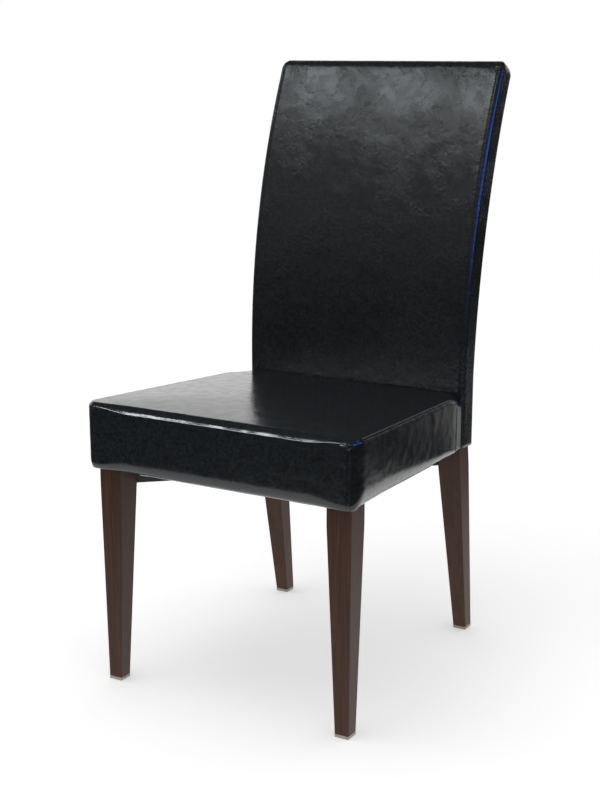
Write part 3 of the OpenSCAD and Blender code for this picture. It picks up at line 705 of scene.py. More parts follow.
class CHAIR_OT_legs(bpy.types.Operator):
    """Tapered front legs and bent rear legs, of stained timber with eased edges"""
    bl_idname = "chair.legs"
    bl_label = "Legs"

    def execute(self, context):
        s = sizes()
        for word, side in (("left", -1), ("right", 1)):
            for kind, levels in (("front_leg", front_leg_levels), ("rear_post", rear_post_levels)):
                leg = box_stack(f"turned_{kind}_{word}", levels(s, side))
                clean_mesh(leg.data)
                leg = bevelled(leg, 0.9 * MM)
                finish_piece(leg, MATERIALS["stained_timber"],
                             [f"{kind}_{word}"])
        return {"FINISHED"}


class CHAIR_OT_glides(bpy.types.Operator):
    """Square nylon glides with their pins, eased at the edges"""
    bl_idname = "chair.glides"
    bl_label = "Glides"

    def execute(self, context):
        for end in ("front", "rear"):
            for side in ("left", "right"):
                self.glide(f"glide_{end}_{side}")
        return {"FINISHED"}

    def glide(self, name):
        """A pad with a stepped rim, whose pin rises into the leg."""
        low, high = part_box(name)
        pad_h, inset = sizes().glide_h, 0.4 * MM
        x0, x1, y0, y1 = low.x, high.x, low.y, high.y
        levels = [(x0 + inset, x1 - inset, y0 + inset, y1 - inset, low.z, low.z),
                  (x0, x1, y0, y1, low.z + inset, low.z + inset),
                  (x0, x1, y0, y1, low.z + pad_h, low.z + pad_h)]
        pad = box_stack("pad_" + name, levels)
        pad = bevelled(pad, 0.3 * MM)
        centre = (low + high) / 2
        work = bmesh.new()
        work.from_mesh(pad.data)
        pin_low = low.z + 2 * MM
        for radius, top in ((2 * MM, high.z - 1 * MM), (1.2 * MM, high.z)):
            middle = Matrix.Translation((centre.x, centre.y, (top + pin_low) / 2))
            bmesh.ops.create_cone(work, cap_ends=True, segments=20, radius1=radius,
                                  radius2=radius * 0.7, depth=top - pin_low, matrix=middle)
        work.to_mesh(pad.data)
        work.free()
        finish_piece(pad, MATERIALS["glide_plastic"], [name])


# Shapes repeated by Geometry Nodes

def repeat_tree(name, material, along_path):
    """A node tree that sets one shape along a path, or on single points, facing outwards."""
    seed = 11
    tree = bpy.data.node_groups.new(name, "GeometryNodeTree")
    names = {}
    for label, kind in (("Path", "Geometry"), ("Shape", "Object"), ("Pitch", "Float"),
                        ("Spread", "Float")):
        socket = tree.interface.new_socket(label, in_out="INPUT", socket_type="NodeSocket" + kind)
        names[label] = socket.identifier
    tree.interface.new_socket("Mesh", in_out="OUTPUT", socket_type="NodeSocketGeometry")
    new, link = tree.nodes.new, tree.links.new
    start, end = new("NodeGroupInput"), new("NodeGroupOutput")
    points = start.outputs["Path"]
    turn = new("FunctionNodeAxesToRotation")
    turn.primary_axis, turn.secondary_axis = "Z", "X"
    if along_path:
        curve, even = new("GeometryNodeMeshToCurve"), new("GeometryNodeResampleCurve")
        even.mode = "LENGTH"
        link(points, curve.inputs["Mesh"])
        link(curve.outputs["Curve"], even.inputs["Curve"])
        link(start.outputs["Pitch"], even.inputs["Length"])
        link(new("GeometryNodeInputTangent").outputs["Tangent"], turn.inputs["Secondary Axis"])
        points = even.outputs["Curve"]
    else:
        turn.inputs["Secondary Axis"].default_value = (0.1, 0.4, 1.0)
    facing = new("GeometryNodeInputNamedAttribute")
    facing.data_type = "FLOAT_VECTOR"
    facing.inputs["Name"].default_value = "facing"
    link(facing.outputs["Attribute"], turn.inputs["Primary Axis"])
    vary, low, high = new("FunctionNodeRandomValue"), new("ShaderNodeMath"), new("ShaderNodeMath")
    vary.data_type = "FLOAT"
    low.operation, high.operation = "SUBTRACT", "ADD"
    for bound, socket in ((low, vary.inputs[2]), (high, vary.inputs[3])):
        bound.inputs[0].default_value = 1.0
        link(start.outputs["Spread"], bound.inputs[1])
        link(bound.outputs["Value"], socket)
    vary.inputs["Seed"].default_value = seed
    shape, place = new("GeometryNodeObjectInfo"), new("GeometryNodeInstanceOnPoints")
    link(start.outputs["Shape"], shape.inputs["Object"])
    link(points, place.inputs["Points"])
    link(shape.outputs["Geometry"], place.inputs["Instance"])
    link(turn.outputs["Rotation"], place.inputs["Rotation"])
    link(vary.outputs[1], place.inputs["Scale"])
    real, finish = new("GeometryNodeRealizeInstances"), new("GeometryNodeSetMaterial")
    finish.inputs["Material"].default_value = material
    link(place.outputs["Instances"], real.inputs["Geometry"])
    link(real.outputs["Geometry"], finish.inputs["Geometry"])
    link(finish.outputs["Geometry"], end.inputs["Mesh"])
    return tree, names


def repeat_shape(name, rows, shape, material, pitch=1.0, spread=0.0, along_path=True):
    """Sets a shape along rows of (point, facing) and returns them as one plain mesh."""
    points, edges, facings = [], [], []
    for row in rows:
        first = len(points)
        points += [point for point, _ in row]
        facings += [part for _, facing in row for part in facing]
        if along_path:
            edges += [(first + i, first + i + 1) for i in range(len(row) - 1)]
    mesh = bpy.data.meshes.new(name)
    mesh.from_pydata([tuple(point) for point in points], edges, [])
    mesh.attributes.new("facing", "FLOAT_VECTOR", "POINT").data.foreach_set("vector", facings)
    piece = new_object(name, mesh)
    tree, names = repeat_tree(name + "_nodes", material, along_path)
    modifier = piece.modifiers.new("repeat", "NODES")
    modifier.node_group = tree
    modifier[names["Shape"]] = shape
    modifier[names["Pitch"]] = pitch
    modifier[names["Spread"]] = spread
    apply_modifiers(piece)
    bpy.data.objects.remove(shape)
    piece.data.shade_smooth()
    return piece


def spindle(name, length_x, sections, sink):
    """A closed rod along X through (share of length, radius), its ends sunk along -Z."""
    sides = 6
    points = []
    for place, radius in sections:
        x = length_x * place
        drop = sink * (2 * place) ** 2
        points += [(x, radius * math.cos(2 * math.pi * k / sides),
                    radius * math.sin(2 * math.pi * k / sides) - drop) for k in range(sides)]
    last = sides * (len(sections) - 1)
    faces = ring_faces(len(sections), sides)
    faces += [tuple(range(sides))[::-1], tuple(last + k for k in range(sides))]
    piece = mesh_object(name, points, faces)
    clean_mesh(piece.data, 0.000001)
    return piece


def sew(name, rows, seams):
    """Stitches of thread along sewn rows."""
    r = seams.thread / 2
    shape = spindle("thread_shape", seams.stitch,
                    [(-0.5, r * 0.35), (-0.38, r * 0.9), (0.0, r), (0.38, r * 0.9), (0.5, r * 0.35)],
                    sink=0.5 * MM)
    stitches = repeat_shape(name, rows, shape, MATERIALS["thread"], seams.pitch, spread=0.08)
    return finish_piece(stitches, MATERIALS["thread"])


# Sewing: how the leather rises and sinks along its seams

def gathers(seams, along):
    """Small waves in step with the stitches, 0 to 1."""
    return 0.5 + 0.5 * math.sin(2 * math.pi * along / seams.pitch)


def double_seam(seams, across, along, depth):
    """Height of the leather beside a seam sewn down with a row on each side."""
    row = seams.row_gap / 2
    ridge = max(hump(across, row, 2.6 * MM), hump(across, -row, 2.6 * MM))
    dip = max(hump(across, row, 0.9 * MM), hump(across, -row, 0.9 * MM))
    lift = depth * (0.45 + 0.25 * gathers(seams, along)) * ridge
    return lift - depth * hump(across, 0.0, 1.3 * MM) - 0.3 * depth * dip


def felled_seam(seams, across, along, depth):
    """One sewn row: the leather sinks at the thread and stands up on its outer side."""
    outer = hump(across, 3.0 * MM, 3.4 * MM)
    inner = hump(across, -2.4 * MM, 3.0 * MM)
    wave = gathers(seams, along)
    lift = depth * ((0.75 + 0.25 * wave) * outer + (0.15 + 0.3 * wave) * inner)
    return lift - 0.7 * depth * hump(across, 0.0, 1.1 * MM)


def wrinkles(place, size, height):
    """Irregular ridges of pulled leather."""
    point = place / size
    ridge = 1 - abs(noise.noise(point))
    small = 1 - abs(noise.noise(point * 2.3 + Vector((7.1, 3.3, 1.9))))
    return height * (ridge ** 4 - 0.35 + 0.5 * (small ** 4 - 0.35))


def press(piece, rise):
    """Moves each point along its normal by the height that rise gives for its number."""
    normals = [v.normal.copy() for v in piece.data.vertices]
    for index, vertex in enumerate(piece.data.vertices):
        height = rise(index, vertex.co)
        if height:
            vertex.co += normals[index] * height
    piece.data.update()


def stitch_row(piece, line):
    """Points and facings of a sewn row along a line of vertex numbers."""
    vertices = piece.data.vertices
    return [(vertices[i].co.copy(), vertices[i].normal.copy()) for i in line]


# Seat leather

def side_tuck(s, y):
    """How far the side leather rolls under: less towards the back, least beside it."""
    rear_tuck = 8 * MM
    share_back = smooth_step(90 * MM, s.back_y - 60 * MM, y)
    late = smooth_step(s.back_y - 90 * MM, s.back_y, y)
    tuck = s.tuck_side + (rear_tuck - s.tuck_side) * share_back
    return tuck + (s.tuck_rear - tuck) * late


def hem_lift(s, y):
    """The hem stands a little higher along the front half of the sides."""
    most = 2 * MM
    lift = smooth_step(s.front_y + 6 * MM, s.front_y + 34 * MM, y)
    return most * lift * (1 - smooth_step(70 * MM, 200 * MM, y))


def crown_share(u, v):
    """Height of the cushion's crown, 1 in the middle and 0 along its edges."""
    a, b = 2 * u - 1, 2 * v - 1
    return max(0.0, 1 - (a ** 8 + b ** 8) ** 0.25)


def rounded_rear(s, point):
    """Draws the cushion's rear corners down and in, as a sewn corner is."""
    reach_y, reach_down, most_inward = 75 * MM, 60 * MM, 5 * MM
    y = point.y + s.mid_y
    near = smooth_step(s.back_y - reach_y, s.back_y, y)
    if near == 0.0:
        return point
    gap = seat_half_w(s, y) - abs(point.x)
    big, small = s.rear_round, s.side_roll_r

    def sunk(radius):
        reach = min(max(radius - gap, 0.0), radius)
        return radius - math.sqrt(radius * radius - reach * reach)

    depth = edge_z(s, y) - point.z
    upper = 1 - smooth_step(small, reach_down, depth)
    drop = (sunk(big) - sunk(small)) * near * upper
    inward = most_inward * near * near * (1 - smooth_step(0.0, 60 * MM, gap))
    return Vector((point.x - math.copysign(inward, point.x), point.y, point.z - drop))


class SeatSkin:
    """The seat's outer skin as rings round its sides and a grid over its top."""
    tuck_turns = [math.radians(a) for a in (90, 78, 66, 54, 42, 30, 18, 8)]
    wall_steps = 14
    seam_offsets = [12.0, 8.0, 5.5, 4.0, 3.0, 2.2, 1.5, 0.8, 0.0]
    plain_hem_h = 8 * MM
    flange_w, flange_loss = 8 * MM, 6 * MM
    front_slope = 0.25
    corner_fade, tuck_fade = 70 * MM, 60 * MM
    side_seam_h, corner_seam_h, rear_seam_h = 1.3 * MM, 0.7 * MM, 0.5 * MM

    def __init__(self, s, seams):
        self.s, self.seams = s, seams
        self.straight = s.seat_front_w / 2 - s.corner_r
        self.quarter = s.corner_r * math.pi / 2
        self.corner_seam = self.seam_place(s.seat_front_w / 2 - seams.corner_seam)
        self.side_end = self.straight + self.quarter + s.seat_depth - s.corner_r - s.rear_gap
        self.rear_seam = self.side_end - seams.rear_seam
        middle = self.straight + self.quarter / 2
        front = stations(0.0, middle, 5 * MM, [self.corner_seam])
        side = stations(middle, self.side_end, 5 * MM, [self.rear_seam])
        self.front = [-a for a in front[:0:-1]] + front
        self.side = side
        self.nx, self.ny = len(self.front) - 1, len(self.side) - 1
        self.columns = ([("out", a) for a in self.front[:-1]] + [("out", a) for a in side[:-1]]
                        + [("rear", self.rear_x(a)) for a in reversed(self.front[1:])]
                        + [("out", -a) for a in side[:0:-1]])
        self.corner_numbers = {self.nx + self.ny, 2 * self.nx + self.ny}
        row = seams.row_gap / 2
        self.seam_up = s.side_roll_r * math.pi / 4
        self.row_angles = [(self.seam_up + sign * row) / s.side_roll_r for sign in (-1, 1)]
        turns = sorted([math.radians(3 * i) for i in range(1, 31)] + self.row_angles)
        self.rows = ([("flange", 0.0)] + [("tuck", a) for a in self.tuck_turns]
                     + [("wall", i / self.wall_steps) for i in range(self.wall_steps)]
                     + [("edge", offset * MM) for offset in self.seam_offsets]
                     + [("roll", a) for a in turns])
        self.rings = len(self.rows)
        self.first_roll = self.rings - len(turns)

    def seam_place(self, x):
        """Distance along the outline at which the front corner reaches a width."""
        return self.straight + self.s.corner_r * math.asin((x - self.straight) / self.s.corner_r)

    def rear_x(self, along):
        """Place of a rear column across, from its front column's place along the outline."""
        half = seat_half_w(self.s, self.s.back_y)
        return half * along / self.front[-1]

    def plan(self, column, inset=0.0):
        """A column's place in plan, set in by a distance, its roll, and 1 where its hem hangs."""
        s = self.s
        kind, value = column
        if kind == "rear":
            half = seat_half_w(s, s.back_y)
            return (value * (half - inset) / half, s.back_y - s.rear_gap - inset, s.side_roll_r, 0)
        along, sign = abs(value), (1 if value >= 0 else -1)
        if along <= self.straight:
            near = smooth_step(self.straight - self.corner_fade, self.straight, along)
            roll = s.front_edge + (s.side_roll_r - s.front_edge) * near
            return sign * along, s.front_y + inset, roll, 1
        if along <= self.straight + self.quarter:
            turn = (along - self.straight) / s.corner_r
            reach = max(s.corner_r - inset, 1 * MM)
            return (sign * (self.straight + reach * math.sin(turn)),
                    s.front_y + s.corner_r - reach * math.cos(turn), s.side_roll_r, 1)
        y = s.front_y + s.corner_r + along - self.straight - self.quarter
        y = min(y, s.back_y - s.rear_gap - inset)
        return sign * (seat_half_w(s, y) - inset), y, s.side_roll_r, 1

    def tuck(self, column):
        """How far the leather rolls under at a column."""
        s = self.s
        kind, value = column
        if kind == "rear":
            return 0.0
        along = abs(value)
        if along <= self.straight:
            near = smooth_step(self.straight - self.tuck_fade, self.straight, along)
            return s.tuck_front + (s.tuck_corner - s.tuck_front) * near
        if along <= self.straight + self.quarter:
            turn = (along - self.straight) / self.quarter
            return s.tuck_corner + (s.tuck_side - s.tuck_corner) * smooth_step(0.35, 1.0, turn)
        return side_tuck(s, self.plan(column)[1])

    def band_point(self, number, kind, value):
        """A point on the side band, whose hem rolls under the rails and ends in a flat flange."""
        s = self.s
        column = self.columns[number]
        x, y, roll, hang = self.plan(column)
        if number in self.corner_numbers:
            x, y, hang = math.copysign(seat_half_w(s, s.back_y), x), s.back_y - s.rear_gap, 1
        inward = hang * self.tuck(column)
        rise = 2 * inward
        start = hem_lift(s, y) if hang else s.board_top + s.rear_gap
        z0, z1 = hem_z(s, y) + start, edge_z(s, y) - roll
        inset = 0.0
        if kind == "flange":
            end = self.straight + self.quarter
            corner = smooth_step(self.straight - 20 * MM, end, abs(column[1]))
            wide = self.flange_w - self.flange_loss * corner
            inset = inward + wide if rise else 0.0
            z = z0 - (0.0 if rise else 0.2 * MM)
        elif kind == "tuck":
            inset = inward * (1 - math.cos(value))
            z = z0 + (rise or self.plain_hem_h) * (1 - math.sin(value))
        elif kind == "wall":
            low = z0 + max(rise, self.plain_hem_h)
            z = low + (z1 - self.seam_offsets[0] * MM - low) * value
        else:
            z = z1 - value
        x, y, _, _ = self.plan(column, inset)
        return Vector((x, y - s.mid_y, z))

    def roll_point(self, number, angle):
        """A point on the upper edge: round at the sides, nearly a slope along the front."""
        s = self.s
        kind, value = self.columns[number]
        x, y, roll, _ = self.plan((kind, value))
        power = 1.0
        if kind == "out":
            end = self.straight + self.quarter
            power += self.front_slope * (1 - smooth_step(self.straight - 15 * MM, end, abs(value)))
        x, y, _, _ = self.plan((kind, value), roll * (1 - max(math.cos(angle), 0.0) ** power))
        return Vector((x, y - s.mid_y, edge_z(s, y) - roll + roll * math.sin(angle) ** power))

    def build(self):
        count = len(self.columns)
        points = []
        for kind, value in self.rows:
            for i in range(count):
                points.append(self.roll_point(i, value) if kind == "roll"
                              else self.band_point(i, kind, value))
        faces = ring_faces(self.rings, count)
        rim = (self.rings - 1) * count
        grid = {}
        for i in range(self.nx + 1):
            grid[i, 0] = rim + i
            grid[i, self.ny] = rim + (2 * self.nx + self.ny - i)
        for j in range(self.ny + 1):
            grid[self.nx, j] = rim + self.nx + j
            grid[0, j] = rim + (count - j) % count
        self.cover_top(points, grid)
        points = [rounded_rear(self.s, point) for point in points]
        faces += [(grid[i, j], grid[i + 1, j], grid[i + 1, j + 1], grid[i, j + 1])
                  for i in range(self.nx) for j in range(self.ny)]
        return mesh_object("seat_leather", points, faces)

    def cover_top(self, points, grid):
        """Fills the top between its four rims, crowned in the middle."""
        nx, ny = self.nx, self.ny
        front = [points[grid[i, 0]] for i in range(nx + 1)]
        right = [points[grid[nx, j]] for j in range(ny + 1)]
        for j in range(1, ny):
            v = (right[j].y - right[0].y) / (right[-1].y - right[0].y)
            for i in range(1, nx):
                u = (front[i].x - front[0].x) / (front[-1].x - front[0].x)
                low, high = points[grid[i, 0]], points[grid[i, ny]]
                left, side = points[grid[0, j]], points[grid[nx, j]]
                corners = (points[grid[0, 0]] * (1 - u) * (1 - v)
                           + points[grid[nx, 0]] * u * (1 - v)
                           + points[grid[0, ny]] * (1 - u) * v + points[grid[nx, ny]] * u * v)
                point = low * (1 - v) + high * v + left * (1 - u) + side * u - corners
                point.z += self.s.seat_crown * crown_share(u, v)
                grid[i, j] = len(points)
                points.append(point)

    def held(self):
        """How firmly each point is held while the cloth swells."""
        count = len(self.columns)
        pins = {}
        for j, (row_kind, _) in enumerate(self.rows):
            for i, (kind, value) in enumerate(self.columns):
                on_seam = min(abs(abs(value) - self.corner_seam), abs(abs(value) - self.rear_seam))
                weight = 0.5 if kind == "out" and on_seam < 4 * MM else 0.0
                if row_kind in ("flange", "tuck") or kind == "rear":
                    weight = 1.0
                elif abs(j - self.first_roll) < 4:
                    weight = max(weight, 0.7)
                if weight:
                    pins[j * count + i] = weight
        return pins

    def rise(self, index, place):
        """Height of seams, ledge, puckers and wrinkles at a point."""
        count = len(self.columns)
        ring, number = divmod(index, count)
        if ring >= self.rings:
            return 0.0
        kind, value = self.columns[number]
        if kind == "rear":
            return 0.0
        s, seams = self.s, self.seams
        along = abs(value)
        y = place.y + s.mid_y
        roll = self.plan(self.columns[number])[2]
        row_kind, row_value = self.rows[ring]
        up = roll * row_value if row_kind == "roll" else place.z - edge_z(s, y) + roll
        front = 1 - smooth_step(self.corner_seam - 4 * MM, self.corner_seam, along)
        side = smooth_step(self.corner_seam + 6 * MM, self.straight + self.quarter, along)
        low = 1 - smooth_step(0.0, roll * 0.9, up)
        height = self.ledge(up, value) * front
        height += side * double_seam(seams, up - self.seam_up, along, self.side_seam_h)
        height += low * double_seam(seams, along - self.corner_seam, up, self.corner_seam_h)
        if up < 0:
            height += double_seam(seams, along - self.rear_seam, up, self.rear_seam_h)
        height += self.puckers(up, along, place)
        height += wrinkles(place, 45 * MM, 0.3 * MM)
        return height

    def ledge(self, up, along):
        """A fine uneven fold along the front edge, which catches the light."""
        fold_h, fold_up, fold_w = 0.3 * MM, 3.6 * MM, 2.6 * MM
        place = Vector((along * 75, 0.0, 2.5))
        wander = 0.9 * MM * noise.noise(place) + 0.4 * MM * noise.noise(place * 3.1)
        return fold_h * hump(up - wander, fold_up, fold_w)

    def puckers(self, up, along, place):
        """Gathered leather at the top of the front corner's seam."""
        reach, full = 24 * MM, 4 * MM
        near = math.hypot(along - self.corner_seam + 2 * MM, 0.7 * (up + 14 * MM))
        return smooth_step(reach, full, near) * wrinkles(place, 6 * MM, 1.0 * MM)

    def stitch_lines(self):
        """Vertex numbers along each sewn row."""
        count = len(self.columns)
        half_row = self.seams.row_gap / 2
        lines = []
        for seam in (self.corner_seam, self.rear_seam):
            for side in (-1, 1):
                for row in (-1, 1):
                    column = self.nearest(side * (seam + row * half_row))
                    lines.append([j * count + column for j in range(3, self.first_roll + 2)])
        for angle in self.row_angles:
            ring = self.rows.index(("roll", angle))
            start, stop = self.nx + self.ny // 12, self.nx + self.ny
            lines.append([ring * count + i for i in range(start, stop)])
            mirror = [(count + self.nx - i) % count for i in range(start, stop)]
            lines.append([ring * count + i for i in mirror])
        return lines

    def nearest(self, along):
        """Number of the column nearest to a distance along the outline."""
        gaps = [abs(value - along) if kind == "out" else 9.0 for kind, value in self.columns]
        return gaps.index(min(gaps))


class CHAIR_OT_seat_leather(bpy.types.Operator):
    """Leather cover of the seat: rolled front, sewn corners and sides, crowned top"""
    bl_idname = "chair.seat_leather"
    bl_label = "Seat leather"

    def execute(self, context):
        s, seams = sizes(), context.scene.chair_seams
        skin = SeatSkin(s, seams)
        piece = skin.build()
        swell_cloth(piece, skin.held(), pressure=4.0, shrink=-0.004, cap=3 * MM)
        press(piece, skin.rise)
        rows = [stitch_row(piece, line) for line in skin.stitch_lines()]
        thicken(piece, s.leather_th)
        finish_piece(piece, MATERIALS["seat_leather"], ["seat_cover"])
        sew("seat_stitches", rows, seams)
        return {"FINISHED"}


def thicken(piece, wall):
    """Gives the leather its wall, inwards from the face, and cleans the mesh."""
    solid = piece.modifiers.new("wall", "SOLIDIFY")
    solid.thickness = wall
    solid.offset = -1.0
    solid.use_rim = True
    apply_modifiers(piece)
    clean_mesh(piece.data)
    piece.data.shade_smooth()


# Back leather

class BackSkin:
    """The back's outer skin as rings round its section, from the hem up over the crest."""
    edge_steps = 6
    side_steps = 8
    low_steps = 22
    arc_step = 5 * MM
    seam_h = 0.8 * MM
    face_below = 22 * MM

    def __init__(self, s, seams):
        self.s, self.seams = s, seams
        half = back_half_w(s, 0.0)
        self.flat = half - s.back_edge_r
        self.seam_x = half - seams.back_seam
        across = stations(0.0, self.flat, 5 * MM, [self.seam_x])
        fractions = [x / self.flat for x in across]
        self.fractions = [-f for f in fractions[:0:-1]] + fractions
        steps = range(1, self.edge_steps)
        turns = [math.pi / 2 * i / self.edge_steps for i in steps]
        depths = [i / self.side_steps for i in range(self.side_steps + 1)]
        self.columns = (
            [("front", f, 1) for f in self.fractions] + [("front_edge", a, 1) for a in turns]
            + [("side", d, 1) for d in depths] + [("rear_edge", a, 1) for a in turns]
            + [("rear", f, 1) for f in reversed(self.fractions)]
            + [("rear_edge", a, -1) for a in reversed(turns)]
            + [("side", d, -1) for d in reversed(depths)]
            + [("front_edge", a, -1) for a in reversed(turns)])
        self.low = [i / self.low_steps for i in range(self.low_steps)]
        arc_count = round(s.back_curve_r * s.crest_a / self.arc_step)
        self.arcs = [i / arc_count for i in range(arc_count + 1)]
        self.crests = [math.radians(a) for a in [*range(8, 81, 8), 85, 90]]
        self.rings = len(self.low) + len(self.arcs) + len(self.crests)

    def section(self, column, up):
        """Distance across and depth of a column at a share of the back's curve."""
        s = self.s
        kind, value, side = column
        half, deep, r = back_half_w(s, up), back_th(s, up), s.back_edge_r
        if kind == "front":
            return (half - r) * value, 0.0
        if kind == "rear":
            return (half - r) * value, deep
        if kind == "side":
            return side * half, r + (deep - 2 * r) * value
        if kind == "front_edge":
            return side * (half - r + r * math.sin(value)), r - r * math.cos(value)
        return side * (half - r + r * math.cos(value)), deep - r + r * math.sin(value)

    def low_point(self, column, share_up):
        """Below the curve the back is straight; its face stops behind the seat."""
        s = self.s
        x, depth = self.section(column, 0.0)
        y = s.back_y + depth
        z0 = s.seat_rear_h - self.face_below if column[0] == "front" else hem_z(s, y)
        return Vector((x, y - s.mid_y, z0 + (s.back_curve_h - z0) * share_up))

    def arc(self, column, up):
        """A point where the back curves backwards."""
        s = self.s
        x, depth = self.section(column, up)
        y, z = arc_point(s, depth, s.crest_a * up)
        return Vector((x, y - s.mid_y, z))

    def crest(self, column, turn):
        """Over the top the section narrows to a line along the middle of the crest."""
        s = self.s
        x, depth = self.section(column, 1.0)
        depth = s.crest_r + (depth - s.crest_r) * math.cos(turn)
        y, z = arc_point(s, depth, s.crest_a)
        lift = s.crest_r * math.sin(turn)
        x *= 1 - s.back_top_corner_r * (1 - math.cos(turn)) / back_half_w(s, 1.0)
        return Vector((x, y + lift * math.sin(s.crest_a) - s.mid_y,
                       z + lift * math.cos(s.crest_a)))

    def build(self):
        points = [self.low_point(c, u) for u in self.low for c in self.columns]
        points += [self.arc(c, u) for u in self.arcs for c in self.columns]
        points += [self.crest(c, f) for f in self.crests for c in self.columns]
        return mesh_object("back_leather", points, ring_faces(self.rings, len(self.columns)))

    def held(self):
        """How firmly each point is held while the cloth swells."""
        count = len(self.columns)
        pins = {}
        for j in range(self.rings):
            for i, (kind, value, _) in enumerate(self.columns):
                sewn = kind in ("front", "rear") and abs(abs(value) * self.flat - self.seam_x) < 4 * MM
                weight = 0.6 if sewn else 0.25 if "edge" in kind else 0.0
                if j < 3 or j >= self.rings - 4:
                    weight = 1.0
                if weight:
                    pins[j * count + i] = weight
        return pins

    def rise(self, index, place):
        """Height of seams, folds and wrinkles at a point."""
        s, seams = self.s, self.seams
        ring, number = divmod(index, len(self.columns))
        kind, value, _ = self.columns[number]
        crest_ring = ring - len(self.low) - len(self.arcs)
        over = self.crests[crest_ring] if crest_ring >= 0 else 0.0
        fade = math.cos(over) ** 2
        height = 0.0
        if kind in ("front", "rear"):
            across = abs(value) * self.flat - self.seam_x
            height += fade * felled_seam(seams, across, place.z, self.seam_h)
        if kind == "front":
            top = smooth_step(s.overall_h - 130 * MM, s.overall_h - 10 * MM, place.z)
            height += top * fade * wrinkles(place, 17 * MM, 0.45 * MM)
            height += (1 - top) * wrinkles(place, 60 * MM, 0.35 * MM)
        return height + fade * self.gathered(place)

    def gathered(self, place):
        """Fine wrinkles of the leather gathered at the top corners."""
        reach, full = 34 * MM, 4 * MM
        corner = math.copysign(self.s.back_w_top / 2 - 14 * MM, place.x)
        near = math.hypot(place.x - corner, 0.8 * (place.z - self.s.overall_h + 6 * MM))
        return smooth_step(reach, full, near) * wrinkles(place, 7 * MM, 0.7 * MM)

    def stitch_lines(self):
        """Vertex numbers along each sewn row, up both sides of the face and of the rear."""
        count = len(self.columns)
        lines = []
        for kind in ("front", "rear"):
            for sign in (-1, 1):
                gaps = [abs(c[1] * self.flat - sign * self.seam_x) if c[0] == kind else 9.0
                        for c in self.columns]
                column = gaps.index(min(gaps))
                lines.append([j * count + column for j in range(2, self.rings - 6)])
        return lines


class CHAIR_OT_back_leather(bpy.types.Operator):
    """Leather cover of the back: sewn long edges, gathered top corners, folded crest"""
    bl_idname = "chair.back_leather"
    bl_label = "Back leather"

    def execute(self, context):
        s, seams = sizes(), context.scene.chair_seams
        skin = BackSkin(s, seams)
        piece = skin.build()
        swell_cloth(piece, skin.held(), pressure=3.0, shrink=-0.004, cap=3 * MM)
        press(piece, skin.rise)
        rows = [stitch_row(piece, line) for line in skin.stitch_lines()]
        clean_mesh(piece.data)
        thicken(piece, s.leather_th)
        finish_piece(piece, MATERIALS["back_leather"], ["back_cover"])
        sew("back_stitches", rows, seams)
        return {"FINISHED"}


# Foam, cloth and the pieces below

def under_leather(s, point):
    """Keeps a point of the seat's padding under the leather's hem, crown and rear corners."""
    y = point.y + s.mid_y
    height = point.z - hem_z(s, y)
    gap_x, gap_y = seat_half_w(s, y) - abs(point.x), y - s.front_y
    reach, rise_share, clear = 19 * MM, 2.6, 1 * MM
    tuck_x, tuck_y = side_tuck(s, max(y, 50 * MM)), s.tuck_front

    def inward(tuck, gap):
        rise = rise_share * tuck
        if height >= rise or gap >= reach:
            return 0.0
        turn = 1 - max(height, 0.0) / rise
        return tuck * (1 - math.sqrt(1 - turn * turn)) * (1 - max(gap, 0.0) / reach)

    u, v = min(gap_x / (2 * seat_half_w(s, y)), 0.5), min(max(gap_y / s.seat_depth, 0.0), 1.0)
    cover = edge_z(s, y) + s.seat_crown * crown_share(u, v) - s.leather_th - clear
    moved = Vector((point.x - math.copysign(inward(tuck_x, gap_x), point.x),
                    point.y + inward(tuck_y, gap_y), min(point.z, cover)))
    return rounded_rear(s, moved)


def soft_copy(name, node, shrink, edge, fit):
    """A foam piece from its frame solid: merged, divided, eased, fitted, slightly uneven."""
    mesh = NODES[node].data.copy()
    mesh.name = name
    piece = new_object(name, mesh)
    work = bmesh.new()
    work.from_mesh(mesh)
    bmesh.ops.remove_doubles(work, verts=work.verts, dist=0.02 * MM)
    bmesh.ops.recalc_face_normals(work, faces=work.faces)
    most_rounds, uneven = 4, 0.25 * MM
    for _ in range(most_rounds):
        long_edges = [e for e in work.edges if e.calc_length() > edge]
        if not long_edges:
            break
        bmesh.ops.subdivide_edges(work, edges=long_edges, cuts=1)
        bmesh.ops.triangulate(work, faces=[f for f in work.faces if len(f.verts) > 3])
    work.normal_update()
    moves = [(v, v.normal * (-shrink + uneven * noise.noise(v.co * 60))) for v in work.verts]
    for vertex, move in moves:
        vertex.co = fit(vertex.co + move)
    work.to_mesh(mesh)
    work.free()
    mesh.shade_smooth()
    return piece


class CHAIR_OT_foam(bpy.types.Operator):
    """Seat cushion, padding round the seat frame and foam of the back"""
    bl_idname = "chair.foam"
    bl_label = "Foam"
    shrink = 1.6 * MM

    def execute(self, context):
        s = sizes()

        def tucked(point):
            return under_leather(s, point)

        for name, node, edge, fit in (("seat_cushion", "seat_foam", 14 * MM, tucked),
                                      ("side_padding", "seat_side_padding", 10 * MM, tucked),
                                      ("back_padding", "back_foam", 20 * MM, Vector)):
            piece = soft_copy(name, node, self.shrink, edge, fit)
            finish_piece(piece, MATERIALS["foam"], [node])
        return {"FINISHED"}


def cloth_edge_x(s, y):
    """Half width of the dust cloth, whose edge lies under the side strips."""
    from_hem, from_roll = 8 * MM, 3 * MM
    draw = falling(s, s.hem_draw_front, s.hem_draw_rear, y)
    hem = seat_half_w(s, y) * (1 - draw / (s.seat_front_w / 2)) - s.leather_th
    return min(hem - from_hem, seat_half_w(s, y) - side_tuck(s, y) - from_roll)


